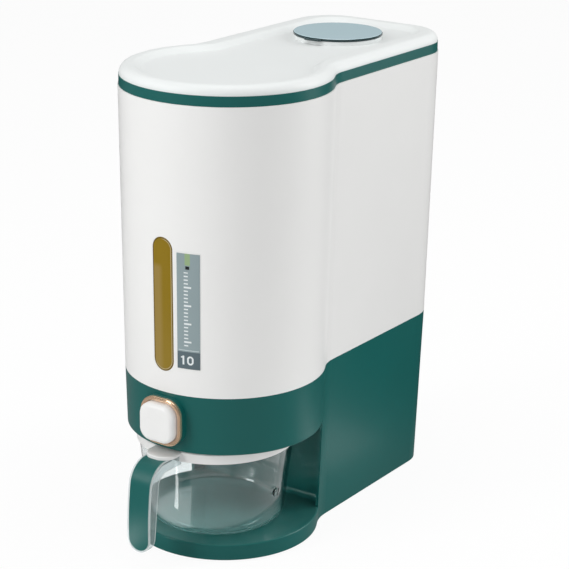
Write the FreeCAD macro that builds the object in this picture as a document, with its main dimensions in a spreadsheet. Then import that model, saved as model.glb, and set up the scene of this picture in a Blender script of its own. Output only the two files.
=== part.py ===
import FreeCAD, Part
import math
import os
import Sketcher
from FreeCAD import Vector

# Rice dispenser: a keyhole-shaped bin on a round-fronted base with a pull-out measuring cup.
# Millimetres. +Z is up, -Y is the front with the button, +X is the right-hand side seen from the front.
# The solids are drawn about the upright axis of the round front. Each finished piece is then moved along Y,
# so that the frame's origin is under the middle of the whole dispenser, on the floor.

# Each size that can be set by itself: its name, its value and what it is.
SIZES = [
    # plan of the container at the seam between base and bin
    ("front_radius", 87.9, "round front"),
    ("half_width", 71.3, "half the width of the straight rear part"),
    ("rear_reach", 250.0, "from the front circle's centre to the back"),
    ("corner_radius", 38.8, "upright corners at the back"),
    ("neck_radius", 38.9, "hollow between the round front and the straight sides"),
    # heights, one on top of the other
    ("foot_gap", 1.5, "feet stand out below the base"),
    ("plinth_height", 14.5, "base's edge to the floor of the cup's bay"),
    ("bay_height", 84.5, "cup's bay"),
    ("ceiling_thickness", 2.5, "bay roof"),
    ("collar_height", 49.7, "bay roof to the seam between base and bin"),
    ("bin_height", 250.3, "seam to the bin's rim"),
    ("lid_gap", 0.1, "under the lid's band"),
    ("band_height", 8.7, "green band"),
    ("lid_height", 8.2, "white lid over the band"),
    ("dish_depth", 4.5, "dished top below the lid's rim"),
    # draft, as how far the outline moves over the whole height
    ("base_inset", 4.4, "base outline at the floor, inside the seam"),
    ("rim_flare", 3.9, "bin outline at the rim, outside the seam"),
    # walls and clearances
    ("base_wall", 2.6, "base"),
    ("bin_wall", 2.8, "bin"),
    ("plate_thickness", 2.6, "bay floor, back wall"),
    ("fit_gap", 0.15, "between fixed parts that slide together"),
    ("running_gap", 0.3, "between parts that move against each other"),
    ("weld", 0.5, "how far a feature starts inside the wall that carries it"),
    ("bond_gap", 0.05, "between parts that are glued or welded"),
    ("soft_edge", 1.2, "edges of the plinth and of the collar"),
    # bay
    ("side_lap", 0.6, "bay's side walls start this far behind the round front"),
    ("cup_rear_gap", 0.85, "cup's ring to the bay's back wall"),
    ("chute_margin", 7.75, "hole in the bay roof beyond the slots, front and back"),
    ("chute_side", 2.0, "hole in the bay roof beyond the slots, at the sides"),
    ("cove_radius", 5.0, "foot of the back wall"),
    # button
    ("button_rise", 1.0, "button above the middle of the collar's front"),
    ("cap_width", 35.0, "button cap"),
    ("cap_height", 34.0, "button cap"),
    ("cap_corner", 11.0, "button cap, corners"),
    ("cap_stand", 7.0, "cap stands out of its ring"),
    ("cap_dome", 3.6, "rounding of the cap's front edge"),
    ("cap_wall", 1.9, "button cap, sides"),
    ("cap_face", 3.3, "button cap, front wall"),
    ("flange_width", 2.5, "stop flange round the cap's back"),
    ("flange_thickness", 1.6, "stop flange"),
    ("bezel_side", 3.5, "ring beyond the cap, at the sides"),
    ("bezel_end", 4.1, "ring beyond the cap, above and below"),
    ("bezel_thickness", 3.5, "ring"),
    ("bezel_round", 1.4, "ring, outer edge"),
    ("bezel_step", 1.2, "ring, width of its inner step"),
    ("bezel_step_depth", 1.3, "ring, depth of its inner step"),
    ("boss_stand", 3.1, "boss stands out of the collar"),
    ("boss_root", 6.5, "boss, through the collar's wall"),
    ("sleeve_length", 11.0, "guide sleeve behind the boss's face"),
    ("sleeve_wall", 2.0, "guide sleeve"),
    ("press_travel", 9.0, "stroke of the button"),
    # outlet under the funnel
    ("slot_width", 8.5, "rice slots, front to back"),
    ("slot_length", 44.0, "rice slots, across"),
    ("slot_corner", 2.0, "rice slots"),
    ("slot_front", -22.0, "middle of the front slot"),
    ("slot_pitch", 18.0, "from slot to slot"),
    ("shutter_thickness", 2.4, "sliding plate"),
    ("shutter_margin", 6.0, "sliding plate beside the slots"),
    ("nose_gap", 8.0, "sliding plate's front end behind the guide sleeve"),
    ("rail_height", 2.3, "rails under the shutter"),
    ("rail_width", 4.7, "rails beside the shutter"),
    ("slot_plate", 3.0, "slotted plate over the shutter"),
    ("frame_lead", 19.75, "outlet frame in front of the slots"),
    ("frame_tail", 24.75, "outlet frame behind the slots"),
    ("frame_stop", 2.5, "outlet frame's rear wall"),
    ("ear_reach", 10.0, "screw ears beside the frame"),
    ("ear_radius", 5.0, "screw ears"),
    ("ear_lift", 1.5, "screw ears above the rails"),
    ("ear_thickness", 2.5, "screw ears"),
    ("spring_side", 24.0, "springs, from the middle"),
    ("spring_radius", 3.6, "springs, to the wire's middle"),
    ("spring_turns", 3.5, "springs"),
    ("wire_width", 1.0, "spring wire"),
    ("post_height", 9.5, "spring seats over the slotted plate"),
    ("post_thickness", 3.5, "spring seats"),
    ("post_half_width", 5.0, "spring seats"),
    ("link_thickness", 2.3, "cross plate behind the button"),
    ("link_margin", 3.0, "cross plate beyond the springs"),
    ("link_foot_half", 14.0, "foot of the cross plate on the shutter"),
    ("link_foot_run", 10.0, "foot of the cross plate on the shutter"),
    ("link_rib", 1.2, "half the thickness of the plunger's ribs"),
    # funnel
    ("throat_side", 4.0, "funnel mouth beyond the slots, at the sides"),
    ("throat_lead", 1.25, "funnel mouth beyond the slots, in front"),
    ("throat_tail", 3.25, "funnel mouth beyond the slots, behind"),
    ("funnel_rise", 128.5, "height of the sloped floor"),
    ("funnel_end", 3.0, "end of the slope before the back"),
    ("funnel_wall", 2.2, "funnel"),
    ("shoulder", 2.8, "ledge in the bin that the funnel sits on"),
    ("spigot_length", 12.0, "bin's foot, inside the base"),
    ("spigot_wall", 2.2, "bin's foot"),
    # window and label
    ("window_width", 20.5, "window"),
    ("window_clear", 0.7, "lens flange above the funnel's front edge"),
    ("window_height", 118.1, "window"),
    ("lens_lip", 2.4, "lens flange behind the wall"),
    ("lens_back", 1.4, "lens flange, thickness"),
    ("label_gap", 3.71, "window to label, round the front"),
    ("label_width", 20.1, "label, round the front"),
    ("label_rise", 5.8, "label's lower edge above the window's"),
    ("label_height", 101.2, "label"),
    ("label_thickness", 0.3, "label"),
    # cup
    ("cup_forward", 13.0, "cup's axis in front of the round front's"),
    ("cup_rim_radius", 69.2, "cup wall at its top"),
    ("cup_taper", 9.1, "cup wall at its bottom, inside its top"),
    ("cup_head_gap", 1.7, "cup's ring below the bay roof"),
    ("cup_wall", 2.2, "cup"),
    ("cup_corner", 10.0, "rounding at the cup's bottom"),
    ("foot_ring_width", 16.1, "cup's foot ring, from its bottom edge inwards"),
    ("foot_ring_depth", 0.8, "cup's foot ring"),
    ("pip_radius", 4.0, "round pip on each side of the cup"),
    ("pip_depth", 1.6, "pip stands out of the wall"),
    ("pip_rise", 34.0, "pip above the cup's bottom"),
    ("skirt_depth", 7.5, "white ring, down the cup's side"),
    ("skirt_thickness", 1.0, "white ring, round the cup"),
    ("ring_thickness", 1.5, "white ring, over the cup's edge"),
    ("ring_brim", 0.3, "white ring's upper edge beyond its skirt"),
    ("ring_edge", 0.7, "white ring, softened upper edge"),
    ("tongue_half_width", 14.0, "thumb tongue"),
    ("tongue_corner", 12.0, "thumb tongue"),
    ("tongue_reach", 20.6, "thumb tongue, from the cup's edge"),
    ("tongue_thickness", 2.8, "thumb tongue"),
    ("tongue_root", 9.0, "thumb tongue, inside the cup's edge"),
    # handle
    ("handle_reach", 42.3, "front of the handle from the cup's edge"),
    ("handle_bend", 21.0, "bend at the handle's top"),
    ("handle_crown", 290.0, "long curve of the handle's face"),
    ("crown_rise", 20.4, "where the face turns upright, above the handle's end"),
    ("handle_lift", 1.6, "lower end of the handle above the bay floor"),
    ("handle_half_width", 12.0, "clear frame"),
    ("handle_border", 1.5, "clear frame round the green cover"),
    ("cover_depth", 3.0, "green cover"),
    ("cover_lap", 8.8, "green cover's upper end from the cup's edge"),
    ("arm_depth", 9.5, "arm between cup and grip"),
    ("grip_top_depth", 14.0, "grip where it leaves the arm"),
    ("grip_tip_depth", 6.0, "grip at its lower end"),
    ("grip_bend", 11.0, "inner bend under the arm"),
    # lid
    ("band_inset", 0.75, "band inside the bin's rim"),
    ("band_width", 10.0, "band, across"),
    ("plug_depth", 12.0, "skirt of the band inside the bin"),
    ("plug_gap", 0.6, "between skirt and bin"),
    ("plug_wall", 2.2, "skirt"),
    ("gasket_rise", 3.0, "rubber ring's groove above the skirt's edge"),
    ("gasket_height", 3.4, "rubber ring"),
    ("gasket_seat", 1.3, "rubber ring's groove, depth"),
    ("gasket_play", 0.1, "rubber ring in its groove, and to the bin"),
    ("lid_edge", 0.3, "lid inside the band"),
    ("lid_upright", 0.8, "lid's side below its outer rounding"),
    ("recess_inset", 12.5, "edge of the dish inside the lid's edge"),
    ("recess_slope", 6.5, "run of the dish's slope"),
    ("recess_stem", 5.0, "dish narrower behind the round front"),
    ("recess_round", 5.0, "dish, soft edges"),
    ("lid_skin", 2.4, "lid"),
    # desiccant box in the lid
    ("well_setback", 80.0, "middle of the round cover before the back"),
    ("cover_radius", 40.5, "round cover"),
    ("cover_thickness", 2.4, "round cover"),
    ("cover_gap", 0.4, "round cover over the box's flange"),
    ("cover_edge", 0.8, "round cover, bevelled edge"),
    ("cover_overlap", 3.5, "round cover beyond the box"),
    ("tray_depth", 24.5, "box below the dish"),
    ("tray_wall", 1.5, "box"),
    ("tray_flange", 3.5, "box's flange on the lid"),
    ("flange_inset", 0.5, "box's flange inside the cover's edge"),
    ("tray_slot_width", 3.0, "slots in the box's floor"),
    ("tray_slot_inset", 5.5, "slots' field inside the box's wall"),
    ("pad_gap", 2.0, "drying pad in the box"),
    ("pad_height", 11.0, "drying pad"),
    ("seal_height", 2.6, "seal ring"),
    ("seal_width", 1.15, "seal ring"),
    ("plug_ring", 1.4, "cover's plug ring"),
    ("plug_lip", 1.0, "lip under the seal"),
    ("plug_lip_reach", 0.6, "lip under the seal"),
    ("tab_reach", 3.2, "cover's finger tab"),
    ("tab_half_width", 9.0, "cover's finger tab"),
    ("tab_thickness", 1.4, "cover's finger tab"),
    # feet and screws
    ("cover_plate", 2.4, "underside cover"),
    ("cover_lift", 0.5, "underside cover above the base's edge"),
    ("rib_height", 5.0, "underside cover's ribs"),
    ("rib_thickness", 2.0, "underside cover's ribs"),
    ("rib_pitch", 45.0, "underside cover's ribs"),
    ("rib_start", 11.5, "first rib behind the bay's back wall"),
    ("rib_inset", 16.0, "ribs' ends inside the straight sides"),
    ("foot_radius", 9.0, "rubber feet"),
    ("foot_seat", 1.0, "feet in the cover"),
    ("foot_taper", 1.0, "feet, narrower at the floor"),
    ("foot_front_side", 54.5, "front feet, from the middle"),
    ("foot_front_back", 14.06, "front feet, before the axis"),
    ("foot_rear_inset", 9.0, "rear feet, inside the base's wall"),
    ("foot_rear_run", 34.0, "rear feet, before the rear corners"),
    ("boss_radius", 4.2, "screw bosses"),
    ("boss_front_side", 48.35, "front bosses, from the middle"),
    ("boss_front_back", 43.95, "front bosses, before the axis"),
    ("boss_middle_inset", 6.0, "middle bosses, inside the base's wall"),
    ("boss_rear_sink", 0.9, "rear bosses, merged with the base's wall"),
    ("boss_rear_run", 12.0, "rear bosses, before the rear corners"),
    ("pilot_radius", 1.2, "holes for the screws' threads"),
    ("pilot_skin", 1.0, "left over the holes for the threads"),
    ("screw_radius", 1.15, "screw shanks"),
    ("hole_radius", 1.7, "clear holes for the screws"),
    ("head_radius", 3.0, "screw heads"),
    ("head_height", 1.8, "screw heads"),
    ("screw_clear", 1.2, "screw ends to the ends of their holes"),
]

TRAY_SLOTS = 7

# What follows from them: its name, its formula and what it is.
FORMULAS = [
    ("plate_top", "foot_gap + plinth_height", "floor of the cup's bay"),
    ("plate_under", "plate_top - plate_thickness", "underside of the bay's floor"),
    ("ceiling_under", "plate_top + bay_height", "roof of the cup's bay"),
    ("ceiling_top", "ceiling_under + ceiling_thickness", "floor of the mechanism's room"),
    ("seam_height", "ceiling_top + collar_height", "top of the base"),
    ("rim_height", "seam_height + bin_height", "top of the bin"),
    ("band_under", "rim_height + lid_gap", "underside of the band"),
    ("band_top", "band_under + band_height", "top of the band"),
    ("lid_top", "band_top + lid_height", "crest of the lid's rim"),
    ("lid_round", "lid_height - lid_upright", "outer rounding of the lid"),
    ("recess_floor", "lid_top - dish_depth", "dished top"),
    ("cup_centre", "-cup_forward", "cup's axis"),
    ("cup_floor", "plate_top + running_gap", "cup's underside"),
    ("ring_top", "ceiling_under - cup_head_gap", "top of the cup's ring"),
    ("cup_top", "ring_top - ring_thickness", "top of the clear cup"),
    ("cup_bottom_radius", "cup_rim_radius - cup_taper", "cup wall carried down to its bottom"),
    ("cup_lean", "cup_taper / (cup_top - cup_floor)", "slope of the cup's wall"),
    ("ring_inner", "cup_rim_radius + fit_gap", "ring round the cup"),
    ("ring_outer", "ring_inner + skirt_thickness", "ring's skirt"),
    ("bay_back", "ring_outer + ring_brim + cup_rear_gap - cup_forward", "front face of the back wall"),
    ("rear_room_front", "bay_back + plate_thickness", "back face of the back wall"),
    ("cup_edge", "cup_rim_radius + cup_forward", "cup's front edge from the axis"),
    ("handle_top", "ring_top - tongue_thickness", "top of the handle's arm"),
    ("handle_front", "cup_edge + handle_reach", "front of the handle from the axis"),
    ("handle_tip", "plate_top + handle_lift", "lower end of the handle"),
    ("handle_cut", "handle_tip - 2 * handle_border", "where the handle's side view is cut off"),
    ("crown_height", "handle_tip + crown_rise", "where the handle's face turns upright"),
    ("cover_start", "cup_edge + cover_lap", "green cover's upper end from the axis"),
    ("cover_under", "foot_gap + cover_lift", "underside cover"),
    ("cover_over", "cover_under + cover_plate", "underside cover, upper side"),
    ("head_seat", "cover_plate / 2", "screw heads in the underside cover"),
    ("head_low", "cover_under + head_seat - head_height", "screw heads under the base"),
    ("base_screw_length", "plate_under - pilot_skin - screw_clear - cover_under - head_seat", "screws under the base"),
    ("button_height", "(ceiling_under + seam_height) / 2 + button_rise", "middle of the button"),
    ("boss_front", "front_radius + boss_stand", "front of the boss from the axis"),
    ("bezel_front", "boss_front + bezel_thickness", "front of the ring from the axis"),
    ("cap_front", "bezel_front + cap_stand", "front of the cap from the axis"),
    ("sleeve_end", "boss_front - sleeve_length", "back end of the guide sleeve from the axis"),
    ("bezel_width", "cap_width + 2 * bezel_side", "ring round the button"),
    ("bezel_height", "cap_height + 2 * bezel_end", "ring round the button"),
    ("bezel_corner", "cap_corner + bezel_side", "ring, outer corners"),
    ("hole_width", "cap_width + 2 * running_gap", "hole for the button"),
    ("hole_height", "cap_height + 2 * running_gap", "hole for the button"),
    ("hole_corner", "cap_corner + running_gap", "hole for the button"),
    ("sleeve_width", "hole_width + 2 * sleeve_wall", "guide sleeve"),
    ("sleeve_height", "hole_height + 2 * sleeve_wall", "guide sleeve"),
    ("cap_back", "sleeve_end - running_gap", "front of the cap's stop flange, from the axis"),
    ("slots_front", "slot_front - slot_width / 2", "front edge of the slots"),
    ("slots_rear", "slot_front + slot_pitch + slot_width / 2", "rear edge of the slots"),
    ("chute_front", "slots_front - chute_margin", "hole in the bay roof"),
    ("chute_rear", "slots_rear + chute_margin", "hole in the bay roof"),
    ("chute_half_width", "slot_length / 2 + chute_side", "hole in the bay roof"),
    ("shutter_half_width", "slot_length / 2 + shutter_margin", "sliding plate"),
    ("shutter_nose", "sleeve_end - nose_gap", "sliding plate's front end from the axis"),
    ("shutter_under", "ceiling_top + rail_height + running_gap", "sliding plate"),
    ("shutter_over", "shutter_under + shutter_thickness", "sliding plate"),
    ("slot_under", "shutter_over + running_gap", "slotted plate"),
    ("frame_top", "slot_under + slot_plate", "slotted plate"),
    ("frame_half_width", "shutter_half_width + running_gap + rail_width", "outlet frame"),
    ("frame_front", "frame_lead - slots_front", "front end of the outlet frame from the axis"),
    ("frame_rear", "slots_rear + frame_tail", "rear end of the outlet frame"),
    ("ear_under", "ceiling_top + rail_height + ear_lift", "screw ears"),
    ("ear_over", "ear_under + ear_thickness", "screw ears"),
    ("frame_pilot_low", "ceiling_under + ceiling_thickness / 3", "end of the threads' holes in the bay roof"),
    ("frame_screw_length", "ear_over - frame_pilot_low - running_gap", "screws of the outlet frame"),
    ("spring_height", "frame_top + post_height / 2", "axis of the springs"),
    ("throat_half", "slot_length / 2 + throat_side", "funnel mouth"),
    ("throat_front", "slots_front - throat_lead", "funnel mouth"),
    ("throat_rear", "slots_rear + throat_tail", "funnel mouth"),
    ("funnel_top", "frame_top + funnel_rise", "upper edge of the funnel"),
    ("funnel_rear_run", "rear_reach - funnel_end - throat_rear", "length of the sloped floor"),
    ("funnel_crest", "frame_top + front_radius - bin_wall - running_gap + throat_front",
     "where the funnel meets the round front"),
    ("ledge_height", "seam_height + shoulder", "ledge under the funnel"),
    ("spigot_low", "seam_height - spigot_length", "lower end of the bin"),
    ("window_bottom", "funnel_crest + lens_lip + window_clear", "window"),
    ("window_top", "window_bottom + window_height", "window"),
    ("label_bottom", "window_bottom + label_rise", "label"),
    ("label_top", "label_bottom + label_height", "label"),
    ("plug_low", "band_under - plug_depth", "lower end of the band's skirt"),
    ("well_centre", "rear_reach - well_setback", "middle of the round cover"),
    ("tray_radius", "cover_radius - cover_overlap", "box under the cover"),
    ("tray_bottom", "recess_floor - tray_depth", "box under the cover"),
    ("tray_inner", "tray_radius - tray_wall", "box under the cover"),
    ("tray_top", "recess_floor + tray_flange", "box's flange"),
    ("pad_radius", "tray_inner - pad_gap", "drying pad"),
    ("cover_low", "tray_top + cover_gap", "round cover"),
    ("cover_top", "cover_low + cover_thickness", "round cover"),
    ("seal_radius", "tray_inner - fit_gap", "seal ring"),
    ("middle_shift", "(handle_front - rear_reach - rim_flare) / 2", "from the round front's axis to the middle"),
]

doc = FreeCAD.newDocument("rice_dispenser")
sheet = doc.addObject("Spreadsheet::Sheet", "Sizes")
for row, (alias, content, meaning) in enumerate(SIZES + FORMULAS, start=1):
    sheet.set(f"A{row}", alias)
    sheet.set(f"B{row}", f"={content}" if isinstance(content, str) else str(content))
    sheet.set(f"C{row}", meaning)
    sheet.setAlias(f"B{row}", alias)
doc.recompute()


# ---------------------------------------------------------------- sizes as expressions

class Size:
    """A length that carries its value and the sheet expression that gives it."""

    def __init__(self, value, text):
        self.value = value
        self.text = text

    def __add__(self, other):
        other = as_size(other)
        return Size(self.value + other.value, f"({self.text} + {other.text})")

    def __sub__(self, other):
        other = as_size(other)
        return Size(self.value - other.value, f"({self.text} - {other.text})")

    def __mul__(self, other):
        other = as_size(other)
        return Size(self.value * other.value, f"({self.text} * {other.text})")

    def __truediv__(self, other):
        other = as_size(other)
        return Size(self.value / other.value, f"({self.text} / {other.text})")

    def __neg__(self):
        return Size(-self.value, f"(-1 * {self.text})")

    def __radd__(self, other):
        return as_size(other) + self

    def __rsub__(self, other):
        return as_size(other) - self

    def __rmul__(self, other):
        return as_size(other) * self

    def root(self):
        return Size(math.sqrt(self.value), f"sqrt({self.text})")


def as_size(number):
    return number if isinstance(number, Size) else Size(float(number), f"({float(number)})")


class Sheet:
    """The sheet's cells by their alias."""

    def __getattr__(self, alias):
        return Size(float(sheet.get(alias)), f"Sizes.{alias}")


d = Sheet()


def bind(item, prop, size):
    """Set a property to a size of the sheet, or to a plain number."""
    item.setExpression(prop, as_size(size).text)


# ---------------------------------------------------------------- outlines at a height

def base_offset(height):
    """How far the base's outline stands outside its outline at the seam."""
    return (height / d.seam_height - 1) * d.base_inset


def bin_offset(height):
    """How far the bin's outline stands outside its outline at the seam."""
    return (height - d.seam_height) / d.bin_height * d.rim_flare


def arc_angle(length):
    """The degrees that a length takes up round the front."""
    return length / d.front_radius * (180 / math.pi)


neck_reach = d.front_radius + d.neck_radius
neck_run = d.half_width + d.neck_radius
neck_end = (neck_reach * neck_reach - neck_run * neck_run).root()
bay_side = neck_end * d.front_radius / neck_reach + d.side_lap
spigot_out = base_offset(d.spigot_low) - d.base_wall - d.fit_gap
spigot_in = spigot_out - d.spigot_wall
band_outer = d.rim_flare - d.band_inset
plug_outer = bin_offset(d.plug_low) - d.bin_wall - d.plug_gap
lid_outer = band_outer - d.lid_edge


# ---------------------------------------------------------------- sketches and features

class Drawing:
    """A sketch on one of a body's own planes, with every size bound to the sheet."""

    def __init__(self, body, name, role, height=0.0):
        self.sketch = body.newObject("Sketcher::SketchObject", name)
        plane = next(item for item in body.Origin.OriginFeatures if item.Role == role)
        self.sketch.AttachmentSupport = [(plane, "")]
        self.sketch.MapMode = "FlatFace"
        bind(self.sketch, "AttachmentOffset.Base.z", height)

    def add(self, *shapes):
        return self.sketch.addGeometry(list(shapes), False)

    def rule(self, kind, *where):
        self.sketch.addConstraint(Sketcher.Constraint(kind, *where))

    def measure(self, kind, *where, size):
        index = self.sketch.addConstraint(Sketcher.Constraint(kind, *where, as_size(size).value))
        bind(self.sketch, f"Constraints[{index}]", size)

    def place(self, shape, point, x=None, y=None):
        """Tie a point of a shape to the sketch's origin."""
        for kind, axis, size in (("DistanceX", -2, x), ("DistanceY", -1, y)):
            if size is None:
                continue
            if as_size(size).value == 0:
                self.rule("PointOnObject", shape, point, axis)
            else:
                self.measure(kind, -1, 1, shape, point, size=size)

    def polygon(self, corners):
        points = [Vector(as_size(x).value, as_size(y).value, 0) for x, y in corners]
        ends = points[1:] + points[:1]
        sides = self.add(*[Part.LineSegment(a, b) for a, b in zip(points, ends)])
        for side, following in zip(sides, sides[1:] + sides[:1]):
            self.rule("Coincident", side, 2, following, 1)
        for side, (x, y) in zip(sides, corners):
            self.place(side, 1, x, y)
        return self

    def circle(self, x, y, radius):
        centre = Vector(as_size(x).value, as_size(y).value, 0)
        ring, = self.add(Part.Circle(centre, Vector(0, 0, 1), as_size(radius).value))
        self.place(ring, 3, x, y)
        self.measure("Radius", ring, size=radius)
        return self

    def rounded(self, left, low, right, high, radius):
        """A rectangle with round corners."""
        x0, y0, x1, y1, r = (as_size(v).value for v in (left, low, right, high, radius))
        quarter = math.pi / 2
        corner = lambda x, y, start: Part.ArcOfCircle(
            Part.Circle(Vector(x, y, 0), Vector(0, 0, 1), r), start * quarter, (start + 1) * quarter)
        line = lambda ax, ay, bx, by: Part.LineSegment(Vector(ax, ay, 0), Vector(bx, by, 0))
        loop = self.add(
            line(x0 + r, y0, x1 - r, y0), corner(x1 - r, y0 + r, 3),
            line(x1, y0 + r, x1, y1 - r), corner(x1 - r, y1 - r, 0),
            line(x1 - r, y1, x0 + r, y1), corner(x0 + r, y1 - r, 1),
            line(x0, y1 - r, x0, y0 + r), corner(x0 + r, y0 + r, 2))
        self.join(loop)
        for arc in loop[1::2]:
            self.measure("Radius", arc, size=radius)
        for side, kind in zip(loop[::2], ("Horizontal", "Vertical", "Horizontal", "Vertical")):
            self.rule(kind, side)
        self.place(loop[0], 1, y=low)
        self.place(loop[2], 1, x=right)
        self.place(loop[4], 1, y=high)
        self.place(loop[6], 1, x=left)
        return self

    def stadium(self, centre, low, high, radius):
        """An upright slot with half-round ends."""
        x, r = as_size(centre).value, as_size(radius).value
        y0, y1 = as_size(low).value + r, as_size(high).value - r
        loop = self.add(
            Part.LineSegment(Vector(x + r, y0, 0), Vector(x + r, y1, 0)),
            Part.ArcOfCircle(Part.Circle(Vector(x, y1, 0), Vector(0, 0, 1), r), 0, math.pi),
            Part.LineSegment(Vector(x - r, y1, 0), Vector(x - r, y0, 0)),
            Part.ArcOfCircle(Part.Circle(Vector(x, y0, 0), Vector(0, 0, 1), r), math.pi, 2 * math.pi))
        self.join(loop)
        self.rule("Vertical", loop[0])
        self.measure("Radius", loop[1], size=radius)
        self.place(loop[1], 3, centre, as_size(high) - radius)
        self.place(loop[3], 3, y=as_size(low) + radius)
        return self

    def join(self, run, closed=True):
        """Make neighbours of a run of lines and arcs flow into each other."""
        for piece, following in zip(run, run[1:] + (run[:1] if closed else ())):
            self.rule("Tangent", piece, 2, following, 1)

    def keyhole(self, offset, radius=None, half=None, corner=None, neck=None):
        """The container's plan: a round front, hollow necks, straight sides and round rear corners."""
        radius = (radius or d.front_radius) + offset
        half = (half or d.half_width) + offset
        corner = (corner or d.corner_radius) + offset
        neck = (neck or d.neck_radius) - offset
        reach = d.rear_reach + offset
        R, w, rc, rf, end = (v.value for v in (radius, half, corner, neck, reach))
        neck_y = math.sqrt((R + rf) ** 2 - (w + rf) ** 2)
        turn = math.atan2(neck_y, w + rf)
        up = Vector(0, 0, 1)
        arc = lambda x, y, r, a, b: Part.ArcOfCircle(Part.Circle(Vector(x, y, 0), up, r), a, b)
        line = lambda ax, ay, bx, by: Part.LineSegment(Vector(ax, ay, 0), Vector(bx, by, 0))
        front, right_neck, right, right_corner, rear, left_corner, left, left_neck = self.add(
            arc(0, 0, R, math.pi - turn, 2 * math.pi + turn),
            arc(w + rf, neck_y, rf, math.pi, math.pi + turn),
            line(w, neck_y, w, end - rc),
            arc(w - rc, end - rc, rc, 0, math.pi / 2),
            line(w - rc, end, rc - w, end),
            arc(rc - w, end - rc, rc, math.pi / 2, math.pi),
            line(-w, end - rc, -w, neck_y),
            arc(-w - rf, neck_y, rf, 2 * math.pi - turn, 2 * math.pi))
        self.join((right, right_corner, rear, left_corner, left), closed=False)
        for a, b, c, e in ((front, 2, right_neck, 2), (right_neck, 1, right, 1),
                           (left, 2, left_neck, 2), (left_neck, 1, front, 1)):
            self.rule("Tangent", a, b, c, e)
        self.rule("Coincident", front, 3, -1, 1)
        self.rule("Vertical", right)
        self.rule("Vertical", left)
        self.rule("Horizontal", rear)
        self.measure("Radius", front, size=radius)
        self.place(right, 1, x=half)
        self.place(left, 1, x=-half)
        self.place(rear, 1, y=reach)
        for bend, size in ((right_corner, corner), (left_corner, corner), (right_neck, neck), (left_neck, neck)):
            self.measure("Radius", bend, size=size)
        return self


def finish(body, feature, grows):
    """Recompute and see that the feature added or took away material."""
    before = body.Shape.Volume if body.Shape.Solids else 0.0
    doc.recompute()
    change = body.Shape.Volume - before
    if grows == (change <= 0):
        raise RuntimeError(f"{feature.Label} changed nothing: {change:.3f}")
    return feature


def pad(body, drawing, length, flip=False, both=False):
    feature = body.newObject("PartDesign::Pad", "Pad")
    feature.Profile = drawing.sketch
    bind(feature, "Length", length)
    feature.Reversed = flip
    feature.SideType = "Symmetric" if both else "One side"
    return finish(body, feature, True)


def pocket(body, drawing, length, flip=False, both=False):
    feature = body.newObject("PartDesign::Pocket", "Pocket")
    feature.Profile = drawing.sketch
    bind(feature, "Length", length)
    feature.Reversed = flip
    feature.SideType = "Symmetric" if both else "One side"
    return finish(body, feature, False)


def turn(body, drawing, cut=False, angle=None, centred=False):
    """Turn a profile about the body's upright axis: all round, or through an angle."""
    feature = body.newObject("PartDesign::Groove" if cut else "PartDesign::Revolution", "Turned")
    feature.Profile = drawing.sketch
    axis = next(item for item in body.Origin.OriginFeatures if item.Role == "Z_Axis")
    feature.ReferenceAxis = (axis, [""])
    feature.Midplane = centred
    if angle is not None:
        bind(feature, "Angle", angle)
    return finish(body, feature, not cut)


def loft(body, low, high, cut=False):
    feature = body.newObject("PartDesign::SubtractiveLoft" if cut else "PartDesign::AdditiveLoft", "Loft")
    feature.Profile = low.sketch
    feature.Sections = [high.sketch]
    feature.Ruled = True
    return finish(body, feature, not cut)


def soften(body, size, chosen, bevel=False):
    """Round or bevel the body's edges that pass the test."""
    names = [f"Edge{number}" for number, edge in enumerate(body.Shape.Edges, start=1) if chosen(edge)]
    if not names:
        raise RuntimeError(f"{body.Label}: no edge to soften")
    base = body.Tip
    feature = body.newObject("PartDesign::Chamfer" if bevel else "PartDesign::Fillet", "Softened")
    feature.Base = (base, names)
    bind(feature, "Size" if bevel else "Radius", size)
    doc.recompute()
    if "Invalid" in feature.State:
        raise RuntimeError(f"{body.Label}: {feature.getStatusString()}")
    return feature


def keyhole_block(body, name, low, high, low_offset, high_offset, cut=False, **plan):
    """Raise the keyhole plan from one height to another, with its draft."""
    bottom = Drawing(body, f"{name}_low", "XY_Plane", low).keyhole(low_offset, **plan)
    top = Drawing(body, f"{name}_high", "XY_Plane", high).keyhole(high_offset, **plan)
    return loft(body, bottom, top, cut)


def level(edge, height):
    """True for an edge that lies at one height."""
    box = edge.BoundBox
    return abs(box.ZMin - height.value) < 1e-4 and abs(box.ZMax - height.value) < 1e-4


def new_body(name):
    return doc.addObject("PartDesign::Body", name)


subparts = []


def keep(item, name, axis=0):
    """Name a finished piece that was drawn about an axis, and move it into the dispenser's frame."""
    item.Label = name
    bind(item, "Placement.Base.y", d.middle_shift + axis)
    subparts.append(item)
    return item


def bored(name, radius, length, x, y, z):
    """A cylinder at a place, both bound to the sheet."""
    item = doc.addObject("Part::Cylinder", name)
    for prop, size in (("Radius", radius), ("Height", length), ("Placement.Base.x", x),
                       ("Placement.Base.y", y), ("Placement.Base.z", z)):
        bind(item, prop, size)
    return item


def both_of(name, first, second, kind="Part::Common"):
    """What two solids have in common, or the first without the second."""
    item = doc.addObject(kind, name)
    item.Base = first
    item.Tool = second
    return item


def group(name, members):
    """Loose solids that share one node."""
    item = doc.addObject("Part::Compound", name)
    item.Links = members
    return item


# ---------------------------------------------------------------- where screws and feet go

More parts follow.
